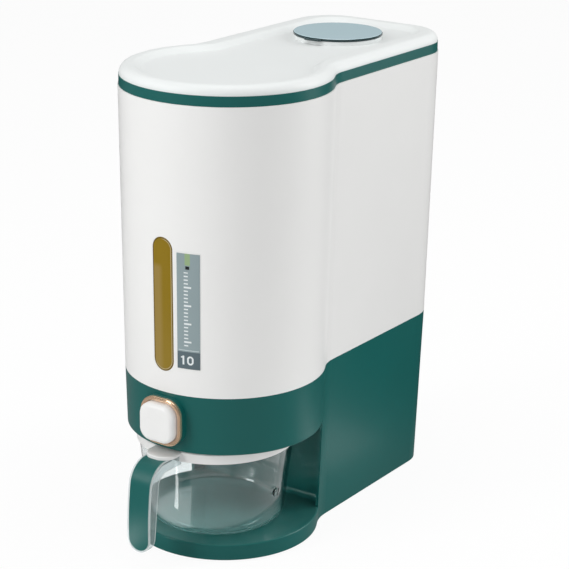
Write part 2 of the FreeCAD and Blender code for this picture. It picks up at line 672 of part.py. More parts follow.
side_inner = d.half_width - d.base_inset - d.base_wall
base_screw_places = [(side * x, y) for side in (-1, 1) for x, y in (
    (d.boss_front_side, -d.boss_front_back),
    (side_inner - d.boss_radius - d.boss_middle_inset, d.bay_back - 2 * d.boss_radius),
    (side_inner - d.boss_radius + d.boss_rear_sink,
     d.rear_reach - d.base_inset - d.corner_radius - d.boss_rear_run))]
foot_places = [(side * x, y) for side in (-1, 1) for x, y in (
    (d.foot_front_side, -d.foot_front_back),
    (side_inner - d.foot_radius - d.foot_rear_inset, d.rear_reach - d.corner_radius - d.foot_rear_run))]
ear_x = d.frame_half_width + d.ear_reach / 2
frame_screw_places = [(side * ear_x, y) for side in (-1, 1)
                      for y in (d.ear_radius - d.frame_front, d.frame_rear - d.ear_radius)]


def front_square(body, name, from_axis, width, height, corner):
    """The button's rounded square, on an upright plane in front of the axis."""
    return Drawing(body, name, "XZ_Plane", from_axis).rounded(
        -width / 2, d.button_height - height / 2, width / 2, d.button_height + height / 2, corner)


def box_sketch(body, name, height, x0, y0, x1, y1):
    return Drawing(body, name, "XY_Plane", height).polygon([(x0, y0), (x1, y0), (x1, y1), (x0, y1)])


# ---------------------------------------------------------------- base

def base_housing():
    """One green moulding: plinth, bay for the cup, back wall, bay roof, collar and button boss."""
    body = new_body("base_housing")
    inside = lambda height: base_offset(height) - d.base_wall
    keyhole_block(body, "outside", d.foot_gap, d.seam_height, base_offset(d.foot_gap), base_offset(d.seam_height))
    keyhole_block(body, "under", d.foot_gap, d.plate_under, inside(d.foot_gap), inside(d.plate_under), cut=True)
    keyhole_block(body, "bay", d.plate_top, d.ceiling_under, inside(d.plate_top), inside(d.ceiling_under), cut=True)
    keyhole_block(body, "collar", d.ceiling_top, d.seam_height, inside(d.ceiling_top), inside(d.seam_height), cut=True)

    far = 2 * d.front_radius
    mouth = box_sketch(body, "bay_mouth", d.plate_top, -far, -far, far, bay_side)
    pocket(body, mouth, d.ceiling_under - d.plate_top, flip=True)

    def rear_room(name, height):
        side = d.half_width + inside(height)
        end = d.rear_reach + inside(height)
        corner = d.corner_radius + inside(height)
        x, y, r = side.value, end.value, corner.value
        start = d.rear_room_front.value
        room = Drawing(body, name, "XY_Plane", height)
        line = lambda ax, ay, bx, by: Part.LineSegment(Vector(ax, ay, 0), Vector(bx, by, 0))
        arc = lambda cx, cy, a: Part.ArcOfCircle(
            Part.Circle(Vector(cx, cy, 0), Vector(0, 0, 1), r), a * math.pi / 2, (a + 1) * math.pi / 2)
        front, right, right_corner, rear, left_corner, left = room.add(
            line(-x, start, x, start), line(x, start, x, y - r), arc(x - r, y - r, 0),
            line(x - r, y, r - x, y), arc(r - x, y - r, 1), line(-x, y - r, -x, start))
        room.rule("Coincident", front, 2, right, 1)
        room.rule("Coincident", left, 2, front, 1)
        for a, b in ((right, right_corner), (right_corner, rear), (rear, left_corner), (left_corner, left)):
            room.rule("Tangent", a, 2, b, 1)
        for side_line in (right, left):
            room.rule("Vertical", side_line)
        for cross_line in (front, rear):
            room.rule("Horizontal", cross_line)
        room.place(front, 1, -side, d.rear_room_front)
        room.place(front, 2, x=side)
        room.place(rear, 1, y=end)
        room.measure("Radius", right_corner, size=corner)
        room.measure("Radius", left_corner, size=corner)
        return room

    loft(body, rear_room("rear_room_low", d.plate_under), rear_room("rear_room_high", d.ceiling_top), cut=True)

    def back_wall(name, height):
        side = d.half_width + base_offset(height) - d.base_wall / 2
        return box_sketch(body, name, height, -side, d.bay_back, side, d.rear_room_front)

    loft(body, back_wall("back_wall_low", d.plate_under), back_wall("back_wall_high", d.ceiling_top))
    chute = box_sketch(body, "chute", d.ceiling_under, -d.chute_half_width, d.chute_front,
                       d.chute_half_width, d.chute_rear)
    pocket(body, chute, d.ceiling_thickness, flip=True)

    # the boss, its guide sleeve and the hole for the button
    boss = front_square(body, "boss", d.boss_front, d.bezel_width, d.bezel_height, d.bezel_corner)
    pad(body, boss, d.boss_root, flip=True)
    sleeve = front_square(body, "sleeve", d.front_radius, d.sleeve_width, d.sleeve_height,
                          d.hole_corner + d.sleeve_wall)
    pad(body, sleeve, d.front_radius - d.sleeve_end, flip=True)
    hole = front_square(body, "button_hole", d.boss_front, d.hole_width, d.hole_height, d.hole_corner)
    pocket(body, hole, d.sleeve_length + d.weld)

    # bosses for the screws of the underside cover and of the outlet frame
    posts = Drawing(body, "cover_bosses", "XY_Plane", d.cover_over)
    for x, y in base_screw_places:
        posts.circle(x, y, d.boss_radius)
    pad(body, posts, d.plate_under + d.weld - d.cover_over)
    pilots = Drawing(body, "cover_pilots", "XY_Plane", d.cover_over)
    for x, y in base_screw_places:
        pilots.circle(x, y, d.pilot_radius)
    pocket(body, pilots, d.plate_under - d.cover_over - d.pilot_skin, flip=True)
    stands = Drawing(body, "frame_bosses", "XY_Plane", d.ceiling_top)
    for x, y in frame_screw_places:
        stands.circle(x, y, d.boss_radius)
    pad(body, stands, d.ear_under - d.ceiling_top)
    pilots = Drawing(body, "frame_pilots", "XY_Plane", d.ear_under)
    for x, y in frame_screw_places:
        pilots.circle(x, y, d.pilot_radius)
    pocket(body, pilots, d.ear_under - d.frame_pilot_low)

    # soft edges: plate, collar's lower edge, and the cove at the foot of the back wall
    soften(body, d.soft_edge, lambda e: e.BoundBox.YMin < -d.half_width.value
                and (level(e, d.plate_top) or level(e, d.ceiling_under)))
    soften(body, d.cove_radius, lambda e: level(e, d.plate_top) and e.Length > d.half_width.value
                and abs(e.BoundBox.YMin - d.bay_back.value) < 1e-3 and abs(e.BoundBox.YMax - d.bay_back.value) < 1e-3)
    return keep(body, "base_housing")


def bottom_cover():
    """Flat cover that closes the base from below, with seats for the feet and stiffening ribs."""
    body = new_body("bottom_cover")
    edge = base_offset(d.foot_gap) - d.base_wall - d.fit_gap
    plate = Drawing(body, "plate", "XY_Plane", d.cover_under).keyhole(edge)
    pad(body, plate, d.cover_plate)
    seats = Drawing(body, "foot_seats", "XY_Plane", d.cover_under)
    for x, y in foot_places:
        seats.circle(x, y, d.foot_radius + d.fit_gap)
    pocket(body, seats, d.foot_seat, flip=True)
    heads = Drawing(body, "head_seats", "XY_Plane", d.cover_under)
    for x, y in base_screw_places:
        heads.circle(x, y, d.head_radius + d.fit_gap)
    pocket(body, heads, d.head_seat, flip=True)
    holes = Drawing(body, "holes", "XY_Plane", d.cover_under)
    for x, y in base_screw_places:
        holes.circle(x, y, d.hole_radius)
    pocket(body, holes, d.cover_plate, flip=True)
    ribs = Drawing(body, "ribs", "XY_Plane", d.cover_over)
    end = d.half_width - d.rib_inset
    for number in range(3):
        front = d.bay_back + d.rib_start + d.rib_pitch * number
        back = front + d.rib_thickness
        ribs.polygon([(-end, front), (end, front), (end, back), (-end, back)])
    pad(body, ribs, d.rib_height)
    return keep(body, "bottom_cover")


def rubber_feet():
    """Four round feet under the cover."""
    feet = []
    for number, (x, y) in enumerate(foot_places):
        foot = doc.addObject("Part::Cone", f"foot_{number}")
        for prop, size in (("Radius1", d.foot_radius - d.foot_taper), ("Radius2", d.foot_radius),
                           ("Height", d.cover_under + d.foot_seat), ("Placement.Base.x", x),
                           ("Placement.Base.y", y)):
            bind(foot, prop, size)
        feet.append(foot)
    return keep(group("rubber_feet", feet), "rubber_feet")


def screws(name, places, head_low, length, upward):
    """Pan-head screws, pointing up from below or down from above."""
    members = []
    for number, (x, y) in enumerate(places):
        shank_low = head_low + d.head_height if upward else head_low - length
        head = bored(f"{name}_head_{number}", d.head_radius, d.head_height, x, y, head_low)
        shank = bored(f"{name}_shank_{number}", d.screw_radius, length, x, y, shank_low)
        screw = doc.addObject("Part::Fuse", f"{name}_{number}")
        screw.Base = head
        screw.Tool = shank
        members.append(screw)
    return keep(group(name, members), name)


# ---------------------------------------------------------------- container

def bin_shell():
    """White container on the base: drafted walls, a spigot inside the base, and the window's opening."""
    body = new_body("bin_shell")
    inside = lambda height: bin_offset(height) - d.bin_wall
    keyhole_block(body, "outside", d.seam_height, d.rim_height, bin_offset(d.seam_height), bin_offset(d.rim_height))
    keyhole_block(body, "inside", d.ledge_height, d.rim_height, inside(d.ledge_height), inside(d.rim_height), cut=True)
    spigot = Drawing(body, "spigot", "XY_Plane", d.spigot_low).keyhole(spigot_out)
    pad(body, spigot, d.spigot_length + d.weld)
    opening = Drawing(body, "lower_opening", "XY_Plane", d.spigot_low).keyhole(spigot_in)
    pocket(body, opening, d.spigot_length + d.shoulder, flip=True)
    side = d.sleeve_width / 2 + d.sleeve_wall
    low, high = d.spigot_low - d.weld, d.seam_height - d.running_gap
    notch = Drawing(body, "button_notch", "XZ_Plane", d.shutter_nose).polygon([
        (-side, low), (side, low), (side, high), (-side, high)])
    pocket(body, notch, d.front_radius - d.shutter_nose, flip=True)
    window = Drawing(body, "window", "XZ_Plane", d.front_radius / 2).stadium(
        0, d.window_bottom, d.window_top, d.window_width / 2)
    pocket(body, window, d.front_radius, flip=True)
    return keep(body, "bin_shell")


def wall_strip(body, name, low, high, outer, inner, sweep, centred=False):
    """Part of a drafted ring round the front circle's axis, which starts at the front or is centred on it."""
    profile = Drawing(body, name, "YZ_Plane").polygon([
        (-(d.front_radius + outer(low)), low), (-(d.front_radius + outer(high)), high),
        (-(d.front_radius + inner(high)), high), (-(d.front_radius + inner(low)), low)])
    return turn(body, profile, angle=sweep, centred=centred)


def window_lens():
    """Amber window: a flush pane and a wider flange that is bonded behind the wall."""
    body = new_body("window_lens")
    half = d.window_width / 2 - d.fit_gap
    sweep = arc_angle(2 * d.window_width)
    wall_inside = lambda height: bin_offset(height) - d.bin_wall
    flange_inside = lambda height: wall_inside(height) - d.lens_back

    def trim(name, low, high, radius):
        frame = Drawing(body, name, "XZ_Plane", d.front_radius / 2)
        side = 2 * d.window_width
        below, above = d.window_bottom - d.window_width, d.window_top + d.window_width
        frame.polygon([(-side, below), (side, below), (side, above), (-side, above)])
        frame.stadium(0, low, high, radius)
        return pocket(body, frame, d.front_radius, flip=True)

    wall_strip(body, "pane", d.window_bottom, d.window_top, bin_offset, wall_inside, sweep, centred=True)
    trim("pane_edge", d.window_bottom + d.fit_gap, d.window_top - d.fit_gap, half)
    low, high = d.window_bottom - d.lens_lip, d.window_top + d.lens_lip
    wall_strip(body, "flange", low, high, wall_inside, flange_inside, sweep, centred=True)
    trim("flange_edge", low, high, half + d.fit_gap + d.lens_lip)
    return keep(body, "window_lens")


def scale_label():
    """Thin sticker beside the window, wrapped on the round front."""
    body = new_body("scale_label")
    glued = lambda height: bin_offset(height) + d.bond_gap
    wall_strip(body, "sticker", d.label_bottom, d.label_top,
               lambda height: glued(height) + d.label_thickness, glued, arc_angle(d.label_width))
    bind(body, "Placement.Rotation.Angle", arc_angle(d.window_width / 2 + d.label_gap))
    return keep(body, "scale_label")


def funnel_wedge(name, wall):
    """The sloped space over the funnel's mouth, grown by a wall: its side view crossed with its front view."""
    flank = wall * math.sqrt(2)
    slope = (d.funnel_rise * d.funnel_rise + d.funnel_rear_run * d.funnel_rear_run).root()
    rear = d.throat_rear + wall * slope / d.funnel_rise
    front = d.throat_front - flank
    half = d.throat_half + flank
    side_view = new_body(f"{name}_side")
    pad(side_view, Drawing(side_view, f"{name}_side_view", "YZ_Plane").polygon([
        (front, d.frame_top), (rear, d.frame_top), (rear + d.funnel_rear_run, d.funnel_top),
        (front - d.funnel_rise, d.funnel_top)]), 4 * (half + d.funnel_rise), both=True)
    front_view = new_body(f"{name}_front")
    pad(front_view, Drawing(front_view, f"{name}_front_view", "XZ_Plane").polygon([
        (-half, d.frame_top), (half, d.frame_top), (half + d.funnel_rise, d.funnel_top),
        (-(half + d.funnel_rise), d.funnel_top)]), 4 * d.rear_reach, both=True)
    return both_of(name, side_view, front_view)


def hopper_funnel():
    """Sloped floor of the bin: a wedge of the bin's inside, hollowed by the same wedge without its wall."""
    room = new_body("funnel_room")
    gap = d.bin_wall + d.running_gap
    keyhole_block(room, "upper", d.ledge_height, d.funnel_top,
                  bin_offset(d.ledge_height) - gap, bin_offset(d.funnel_top) - gap)
    lower = Drawing(room, "lower", "XY_Plane", d.frame_top).keyhole(spigot_in - d.running_gap)
    pad(room, lower, d.ledge_height - d.frame_top)
    shell = both_of("funnel_outside", room, funnel_wedge("wedge_outside", d.funnel_wall))
    funnel = both_of("hopper_funnel", shell, funnel_wedge("wedge_inside", as_size(0)), "Part::Cut")
    return keep(funnel, "hopper_funnel")


# ---------------------------------------------------------------- outlet and button

def outlet_frame():
    """Slide way under the funnel: rails, a slotted plate, seats for the springs and screw ears."""
    body = new_body("outlet_frame")
    pad(body, box_sketch(body, "block", d.ceiling_top, -d.frame_half_width, -d.frame_front,
                         d.frame_half_width, d.frame_rear), d.frame_top - d.ceiling_top)
    ears = Drawing(body, "ears", "XY_Plane", d.ear_under)
    for x, y in frame_screw_places:
        inwards = -d.ear_reach if x.value > 0 else d.ear_reach
        outwards = d.ear_radius if x.value > 0 else -d.ear_radius
        left, right = sorted((x + inwards, x + outwards), key=lambda size: size.value)
        ears.rounded(left, y - d.ear_radius, right, y + d.ear_radius, 0.9 * d.ear_radius)
    pad(body, ears, d.ear_over - d.ear_under)
    way_half = d.shutter_half_width + d.running_gap
    way = box_sketch(body, "slide_way", d.shutter_under - d.running_gap, -way_half, -d.frame_front,
                     way_half, d.frame_rear - d.frame_stop)
    pocket(body, way, d.slot_under - d.shutter_under + d.running_gap, flip=True)
    drop = box_sketch(body, "drop", d.ceiling_top, -d.chute_half_width, d.chute_front, d.chute_half_width, d.chute_rear)
    pocket(body, drop, d.rail_height, flip=True)
    slots = Drawing(body, "slots", "XY_Plane", d.slot_under)
    for number in range(2):
        middle = d.slot_front + d.slot_pitch * number
        slots.rounded(-d.slot_length / 2, middle - d.slot_width / 2, d.slot_length / 2, middle + d.slot_width / 2,
                      d.slot_corner)
    pocket(body, slots, d.slot_plate, flip=True)
    seats = Drawing(body, "spring_seats", "XY_Plane", d.frame_top)
    for side in (-1, 1):
        x = side * d.spring_side
        left, right = x - d.post_half_width, x + d.post_half_width
        back = d.post_thickness - d.frame_front
        seats.polygon([(left, -d.frame_front), (right, -d.frame_front), (right, back), (left, back)])
    pad(body, seats, d.post_height)
    holes = Drawing(body, "screw_holes", "XY_Plane", d.ear_under)
    for x, y in frame_screw_places:
        holes.circle(x, y, d.hole_radius)
    pocket(body, holes, d.ear_over - d.ear_under, flip=True)
    return keep(body, "outlet_frame")


def shutter_plate():
    """Slotted plate that slides under the frame's slots; at rest its slots lie between them."""
    body = new_body("shutter_plate")
    rear = d.slots_rear + d.slot_width / 2
    pad(body, box_sketch(body, "plate", d.shutter_under, -d.shutter_half_width, -d.shutter_nose,
                         d.shutter_half_width, rear), d.shutter_thickness)
    slots = Drawing(body, "slots", "XY_Plane", d.shutter_under)
    for number in range(2):
        middle = d.slot_front - d.press_travel + d.slot_pitch * number
        slots.rounded(-d.slot_length / 2, middle - d.slot_width / 2, d.slot_length / 2, middle + d.slot_width / 2,
                      d.slot_corner)
    pocket(body, slots, d.shutter_thickness, flip=True)
    return keep(body, "shutter_plate")


def push_link():
    """Joins button and shutter: a cross plate, a foot on the shutter and a cross-ribbed plunger."""
    body = new_body("push_link")
    half = d.spring_side + d.spring_radius + d.link_margin
    bar_top = d.spring_height + d.spring_radius + 2 * d.wire_width
    front = d.shutter_nose + d.link_thickness
    crown = d.cap_width / 4
    plate = Drawing(body, "cross_plate", "XZ_Plane", d.shutter_nose).polygon([
        (-half, d.shutter_over), (half, d.shutter_over), (half, bar_top), (crown, bar_top),
        (crown, d.button_height + crown), (-crown, d.button_height + crown), (-crown, bar_top), (-half, bar_top)])
    pad(body, plate, d.link_thickness)
    foot = box_sketch(body, "foot", d.shutter_over, -d.link_foot_half, -d.shutter_nose,
                      d.link_foot_half, d.link_foot_run - d.shutter_nose)
    pad(body, foot, d.link_thickness)
    for name, x, z in (("upright_rib", d.link_rib, crown), ("level_rib", crown, d.link_rib)):
        ribs = Drawing(body, name, "XZ_Plane", front).polygon([
            (-x, d.button_height - z), (x, d.button_height - z), (x, d.button_height + z), (-x, d.button_height + z)])
        pad(body, ribs, d.cap_front - d.cap_face - front)
    return keep(body, "push_link")


def button_cap():
    """White hollow cap with softly domed edges and a stop flange round its back."""
    body = new_body("button_cap")
    face = front_square(body, "face", d.cap_back, d.cap_width, d.cap_height, d.cap_corner)
    pad(body, face, d.cap_front - d.cap_back)
    soften(body, d.cap_dome, lambda e: abs(e.BoundBox.YMax + d.cap_front.value) < 1e-4)
    stop = front_square(body, "stop", d.cap_back, d.cap_width + 2 * d.flange_width,
                        d.cap_height + 2 * d.flange_width, d.cap_corner + d.flange_width)
    pad(body, stop, d.flange_thickness, flip=True)
    hollow_back = d.cap_back - d.flange_thickness
    hollow = front_square(body, "hollow", hollow_back, d.cap_width - 2 * d.cap_wall,
                          d.cap_height - 2 * d.cap_wall, d.cap_corner - d.cap_wall)
    pocket(body, hollow, d.cap_front - d.cap_face - hollow_back, flip=True)
    return keep(body, "button_cap")


def button_bezel():
    """Two-stepped metal-look ring on the boss."""
    body = new_body("button_bezel")
    ring = front_square(body, "ring", d.boss_front, d.bezel_width, d.bezel_height, d.bezel_corner)
    pad(body, ring, d.bezel_front - d.boss_front)
    soften(body, d.bezel_round, lambda e: abs(e.BoundBox.YMax + d.bezel_front.value) < 1e-4)
    step = front_square(body, "step", d.bezel_front, d.hole_width + 2 * d.bezel_step,
                        d.hole_height + 2 * d.bezel_step, d.hole_corner + d.bezel_step)
    pocket(body, step, d.bezel_step_depth)
    hole = front_square(body, "hole", d.bezel_front, d.hole_width, d.hole_height, d.hole_corner)
    pocket(body, hole, d.bezel_front - d.boss_front)
    return keep(body, "button_bezel")


def return_springs():
    """Two flat-wire springs between the frame's seats and the cross plate."""
    body = new_body("spring")
    wire = Drawing(body, "wire", "XY_Plane")
    length = d.shutter_nose - d.frame_front
    wire.polygon([(d.spring_radius - d.wire_width / 2, 0), (d.spring_radius + d.wire_width / 2, 0),
                  (d.spring_radius + d.wire_width / 2, d.wire_width),
                  (d.spring_radius - d.wire_width / 2, d.wire_width)])
    coil = body.newObject("PartDesign::AdditiveHelix", "Coil")
    coil.Profile = wire.sketch
    coil.ReferenceAxis = (wire.sketch, ["V_Axis"])
    coil.Mode = "height-turns-angle"
    bind(coil, "Height", length - d.wire_width)
    bind(coil, "Turns", d.spring_turns)
    finish(body, coil, True)
    bind(body, "Placement.Base.x", -d.spring_side)
    bind(body, "Placement.Base.y", -d.shutter_nose)
    bind(body, "Placement.Base.z", d.spring_height)
    twin = doc.addObject("Part::Mirroring", "twin_spring")
    twin.Source = body
    twin.Normal = Vector(1, 0, 0)
    return keep(group("return_springs", [body, twin]), "return_springs")


# ---------------------------------------------------------------- cup

def cup_bowl():
    """Clear tapered cup with a soft bottom edge, a foot ring and a round pip on each side."""
    body = new_body("cup_bowl")
    floor_radius = d.cup_bottom_radius + d.cup_lean * d.cup_wall - d.cup_wall
    wall = Drawing(body, "profile", "YZ_Plane").polygon([
        (0, d.cup_floor), (d.cup_bottom_radius, d.cup_floor), (d.cup_rim_radius, d.cup_top),
        (d.cup_rim_radius - d.cup_wall, d.cup_top), (floor_radius, d.cup_floor + d.cup_wall),
        (0, d.cup_floor + d.cup_wall)])
    turn(body, wall)
    pip = Drawing(body, "pips", "YZ_Plane").circle(0, d.cup_floor + d.pip_rise, d.pip_radius)
    pad(body, pip, 2 * (d.cup_bottom_radius + d.cup_lean * d.pip_rise + d.pip_depth), both=True)
    inner = Drawing(body, "clear_inside", "YZ_Plane").polygon([
        (0, d.cup_floor + d.cup_wall), (floor_radius, d.cup_floor + d.cup_wall),
        (d.cup_rim_radius - d.cup_wall, d.cup_top), (0, d.cup_top)])
    turn(body, inner, cut=True)
    soften(body, d.cup_corner, lambda e: level(e, d.cup_floor))
    soften(body, d.cup_corner - d.cup_wall,
           lambda e: level(e, d.cup_floor + d.cup_wall) and e.Length > d.cup_rim_radius.value)
    ring = Drawing(body, "foot_ring", "XY_Plane", d.cup_floor).circle(0, 0, d.cup_bottom_radius - d.foot_ring_width)
    pocket(body, ring, d.foot_ring_depth, flip=True)
    return keep(body, "cup_bowl", d.cup_centre)


def cup_rim_ring():
    """White ring pressed over the cup's edge, with a rounded thumb tongue over the handle."""
    body = new_body("cup_rim_ring")
    lip = d.cup_rim_radius - d.cup_wall
    brim = d.ring_outer + d.ring_brim
    tongue = Drawing(body, "tongue", "XY_Plane", d.handle_top).rounded(
        -d.tongue_half_width, -d.cup_rim_radius - d.tongue_reach, d.tongue_half_width,
        d.tongue_root - d.cup_rim_radius, d.tongue_corner)
    pad(body, tongue, d.tongue_thickness)
    skirt_low = d.cup_top - d.skirt_depth
    profile = Drawing(body, "profile", "YZ_Plane").polygon([
        (lip, d.cup_top), (lip, d.ring_top), (brim, d.ring_top), (brim, d.cup_top), (d.ring_outer, d.cup_top),
        (d.ring_outer, skirt_low), (d.ring_inner, skirt_low), (d.ring_inner, d.cup_top)])
    turn(body, profile)
    clear = Drawing(body, "clear_cup", "XY_Plane", d.handle_top).circle(0, 0, d.ring_inner)
    pocket(body, clear, d.cup_top - d.handle_top, flip=True)
    mouth = Drawing(body, "mouth", "XY_Plane", d.handle_top).circle(0, 0, lip)
    pocket(body, mouth, d.tongue_thickness + d.weld, flip=True)
    soften(body, d.ring_edge,
           lambda e: level(e, d.ring_top) and e.BoundBox.YMin < -d.cup_rim_radius.value, bevel=True)
    return keep(body, "cup_rim_ring", d.cup_centre)


def handle_curve(drawing, inset):
    """Outer side of the handle from the arm round the bend to the lower end, moved inwards by an inset.
    Returns its first and last piece and the height and reach of its ends."""
    top = d.handle_top - inset
    bend = d.handle_bend - inset
    crown = d.handle_crown - inset
    face = -d.handle_front + inset
    lean = (crown - bend).value
    rise = (top - bend - d.crown_height).value
    tilt = math.asin(rise / lean)
    crown_y = (face + crown).value
    crown_z = d.crown_height.value
    bend_y = crown_y - lean * math.cos(tilt)
    bend_z = crown_z + rise
    up = Vector(0, 0, 1)
    bottom = d.handle_cut.value
    root = -d.cup_rim_radius.value
    arm, corner, long_bend, drop = drawing.add(
        Part.LineSegment(Vector(root, top.value, 0), Vector(bend_y, top.value, 0)),
        Part.ArcOfCircle(Part.Circle(Vector(bend_y, bend_z, 0), up, bend.value), math.pi / 2, math.pi - tilt),
        Part.ArcOfCircle(Part.Circle(Vector(crown_y, crown_z, 0), up, crown.value), math.pi - tilt, math.pi),
        Part.LineSegment(Vector(face.value, crown_z, 0), Vector(face.value, bottom, 0)))
    drawing.rule("Tangent", arm, 2, corner, 1)
    drawing.rule("Tangent", corner, 2, long_bend, 1)
    drawing.rule("Tangent", long_bend, 2, drop, 1)
    drawing.rule("Horizontal", arm)
    drawing.rule("Vertical", drop)
    drawing.measure("Radius", corner, size=bend)
    drawing.measure("Radius", long_bend, size=crown)
    drawing.place(arm, 1, y=top)
    drawing.place(drop, 1, face, d.crown_height)
    return arm, drop


def handle_band(name, outer_inset, inner_inset, start):
    """The strip between two insets of the handle's outer side, as a solid wider than the handle."""
    body = new_body(name)
    drawing = Drawing(body, f"{name}_side", "YZ_Plane")
    outer_arm, outer_drop = handle_curve(drawing, as_size(outer_inset))
    inner_arm, inner_drop = handle_curve(drawing, as_size(inner_inset))
    close_ends(drawing, outer_arm, outer_drop, inner_arm, inner_drop, start)
    pad(body, drawing, 4 * d.handle_half_width, both=True)
    return body


def close_ends(drawing, outer_arm, outer_drop, inner_arm, inner_drop, start):
    """Join two handle curves at the arm and at the lower end."""
    point = lambda shape, end: drawing.sketch.getPoint(shape, end)
    upper, lower = drawing.add(
        Part.LineSegment(point(outer_arm, 1), point(inner_arm, 1)),
        Part.LineSegment(point(outer_drop, 2), point(inner_drop, 2)))
    drawing.rule("Coincident", outer_arm, 1, upper, 1)
    drawing.rule("Coincident", inner_arm, 1, upper, 2)
    drawing.rule("Coincident", outer_drop, 2, lower, 1)
    drawing.rule("Coincident", inner_drop, 2, lower, 2)
    drawing.place(outer_arm, 1, x=-start)
    drawing.place(inner_arm, 1, x=-start)
    drawing.place(outer_drop, 2, y=d.handle_cut)
    drawing.place(inner_drop, 2, y=d.handle_cut)


def handle_face(name, half_width, tip):
    """The handle seen from the front: an upright strip with a half-round lower end."""
    body = new_body(name)
    drawing = Drawing(body, f"{name}_front", "XZ_Plane", 0)
    drawing.stadium(0, tip, d.handle_top + 2 * d.handle_bend, half_width)
    pad(body, drawing, d.handle_front + d.handle_bend)
    return body


def handle_frame():
    """Clear grip: an arm from the cup, a bend and a tapering grip, with a seat for the green cover."""
    body = new_body("handle_side")
    drawing = Drawing(body, "handle_profile", "YZ_Plane")
    arm, drop = handle_curve(drawing, as_size(0))
    root, under = -d.cup_rim_radius, d.handle_top - d.arm_depth
    knee, tip = d.grip_top_depth - d.handle_front, d.grip_tip_depth - d.handle_front
    bend = d.grip_bend.value
    slope = math.atan2((knee - tip).value, (under - d.handle_cut).value)
    reach = bend * math.tan((math.pi / 2 - slope) / 2)
    start = Vector(knee.value + reach, under.value, 0)
    touch = Vector(knee.value - reach * math.sin(slope), under.value - reach * math.cos(slope), 0)
    foot = Vector(tip.value, d.handle_cut.value, 0)
    underside, corner, grip, mark = drawing.add(
        Part.LineSegment(Vector(root.value, under.value, 0), start),
        Part.ArcOfCircle(Part.Circle(start - Vector(0, bend, 0), Vector(0, 0, 1), bend),
                         math.pi / 2, math.pi - slope),
        Part.LineSegment(touch, foot),
        Part.Point(Vector(knee.value, under.value, 0)))
    drawing.sketch.setConstruction(mark, True)
    upper, lower = drawing.add(
        Part.LineSegment(Vector(root.value, d.handle_top.value, 0), Vector(root.value, under.value, 0)),
        Part.LineSegment(Vector(-d.handle_front.value, foot.y, 0), foot))
    drawing.rule("Horizontal", underside)
    drawing.rule("Tangent", underside, 2, corner, 1)
    drawing.rule("Tangent", corner, 2, grip, 1)
    drawing.rule("Coincident", arm, 1, upper, 1)
    drawing.rule("Coincident", underside, 1, upper, 2)
    drawing.rule("Coincident", drop, 2, lower, 1)
    drawing.rule("Coincident", grip, 2, lower, 2)
    drawing.rule("PointOnObject", mark, 1, grip)
    drawing.measure("Radius", corner, size=d.grip_bend)
    drawing.place(mark, 1, knee, under)
    drawing.place(arm, 1, x=root)
    drawing.place(underside, 1, root, under)
    drawing.place(drop, 2, y=d.handle_cut)
    drawing.place(grip, 2, tip, d.handle_cut)
    pad(body, drawing, 4 * d.handle_half_width, both=True)

    strip = both_of("handle_strip", body, handle_face("frame_front_view", d.handle_half_width, d.handle_tip))
    recess = both_of(
        "cover_seat",
        handle_band("seat_band", -d.cover_depth, d.cover_depth + d.fit_gap, d.cover_start - d.fit_gap),
        handle_face("seat_front_view", d.handle_half_width - d.handle_border, d.handle_tip + d.handle_border))
    seated = both_of("handle_seated", strip, recess, "Part::Cut")

    cup = new_body("cup_clearance")
    ring = d.ring_outer + d.fit_gap
    skirt_low = d.cup_top - d.skirt_depth - d.fit_gap
    wall_at = lambda height: d.cup_bottom_radius + d.cup_lean * (height - d.cup_floor) + d.bond_gap
    turn(cup, Drawing(cup, "cup_side", "YZ_Plane").polygon([
        (0, d.cup_floor), (wall_at(d.cup_floor), d.cup_floor), (wall_at(skirt_low), skirt_low), (ring, skirt_low),
        (ring, d.cup_top), (0, d.cup_top)]))
    bind(cup, "Placement.Base.y", d.cup_centre)
    frame = both_of("handle_frame", seated, cup, "Part::Cut")
    return keep(frame, "handle_frame")


def handle_cover():
    """Green strip set into the front of the grip and over its top."""
    cover = both_of(
        "handle_cover",
        handle_band("cover_band", 0, d.cover_depth, d.cover_start),
        handle_face("cover_front_view", d.handle_half_width - d.handle_border - d.fit_gap,
                    d.handle_tip + d.handle_border + d.fit_gap))
    return keep(cover, "handle_cover")


# ---------------------------------------------------------------- lid

def lid_band():
    """Green ring on the bin's rim, with a skirt inside the bin and a groove for the gasket."""
    body = new_body("lid_band")
    ring = Drawing(body, "ring", "XY_Plane", d.band_under)
    ring.keyhole(band_outer)
    ring.keyhole(band_outer - d.band_width)
    pad(body, ring, d.band_top - d.band_under)
    skirt = Drawing(body, "skirt", "XY_Plane", d.plug_low)
    skirt.keyhole(plug_outer)
    skirt.keyhole(plug_outer - d.plug_wall)
    pad(body, skirt, d.plug_depth + d.weld)
    groove = Drawing(body, "groove", "XY_Plane", d.plug_low + d.gasket_rise)
    groove.keyhole(plug_outer + d.plug_gap)
    groove.keyhole(plug_outer - d.gasket_seat)
    pocket(body, groove, d.gasket_height + 2 * d.gasket_play, flip=True)
    return keep(body, "lid_band")


def lid_gasket():
    """Rubber ring in the skirt's groove."""
    body = new_body("lid_gasket")
    ring = Drawing(body, "ring", "XY_Plane", d.plug_low + d.gasket_rise + d.gasket_play)
    ring.keyhole(plug_outer + d.plug_gap - d.gasket_play)
    ring.keyhole(plug_outer - d.gasket_seat + d.gasket_play / 2)
    pad(body, ring, d.gasket_height)
    return keep(body, "lid_gasket")


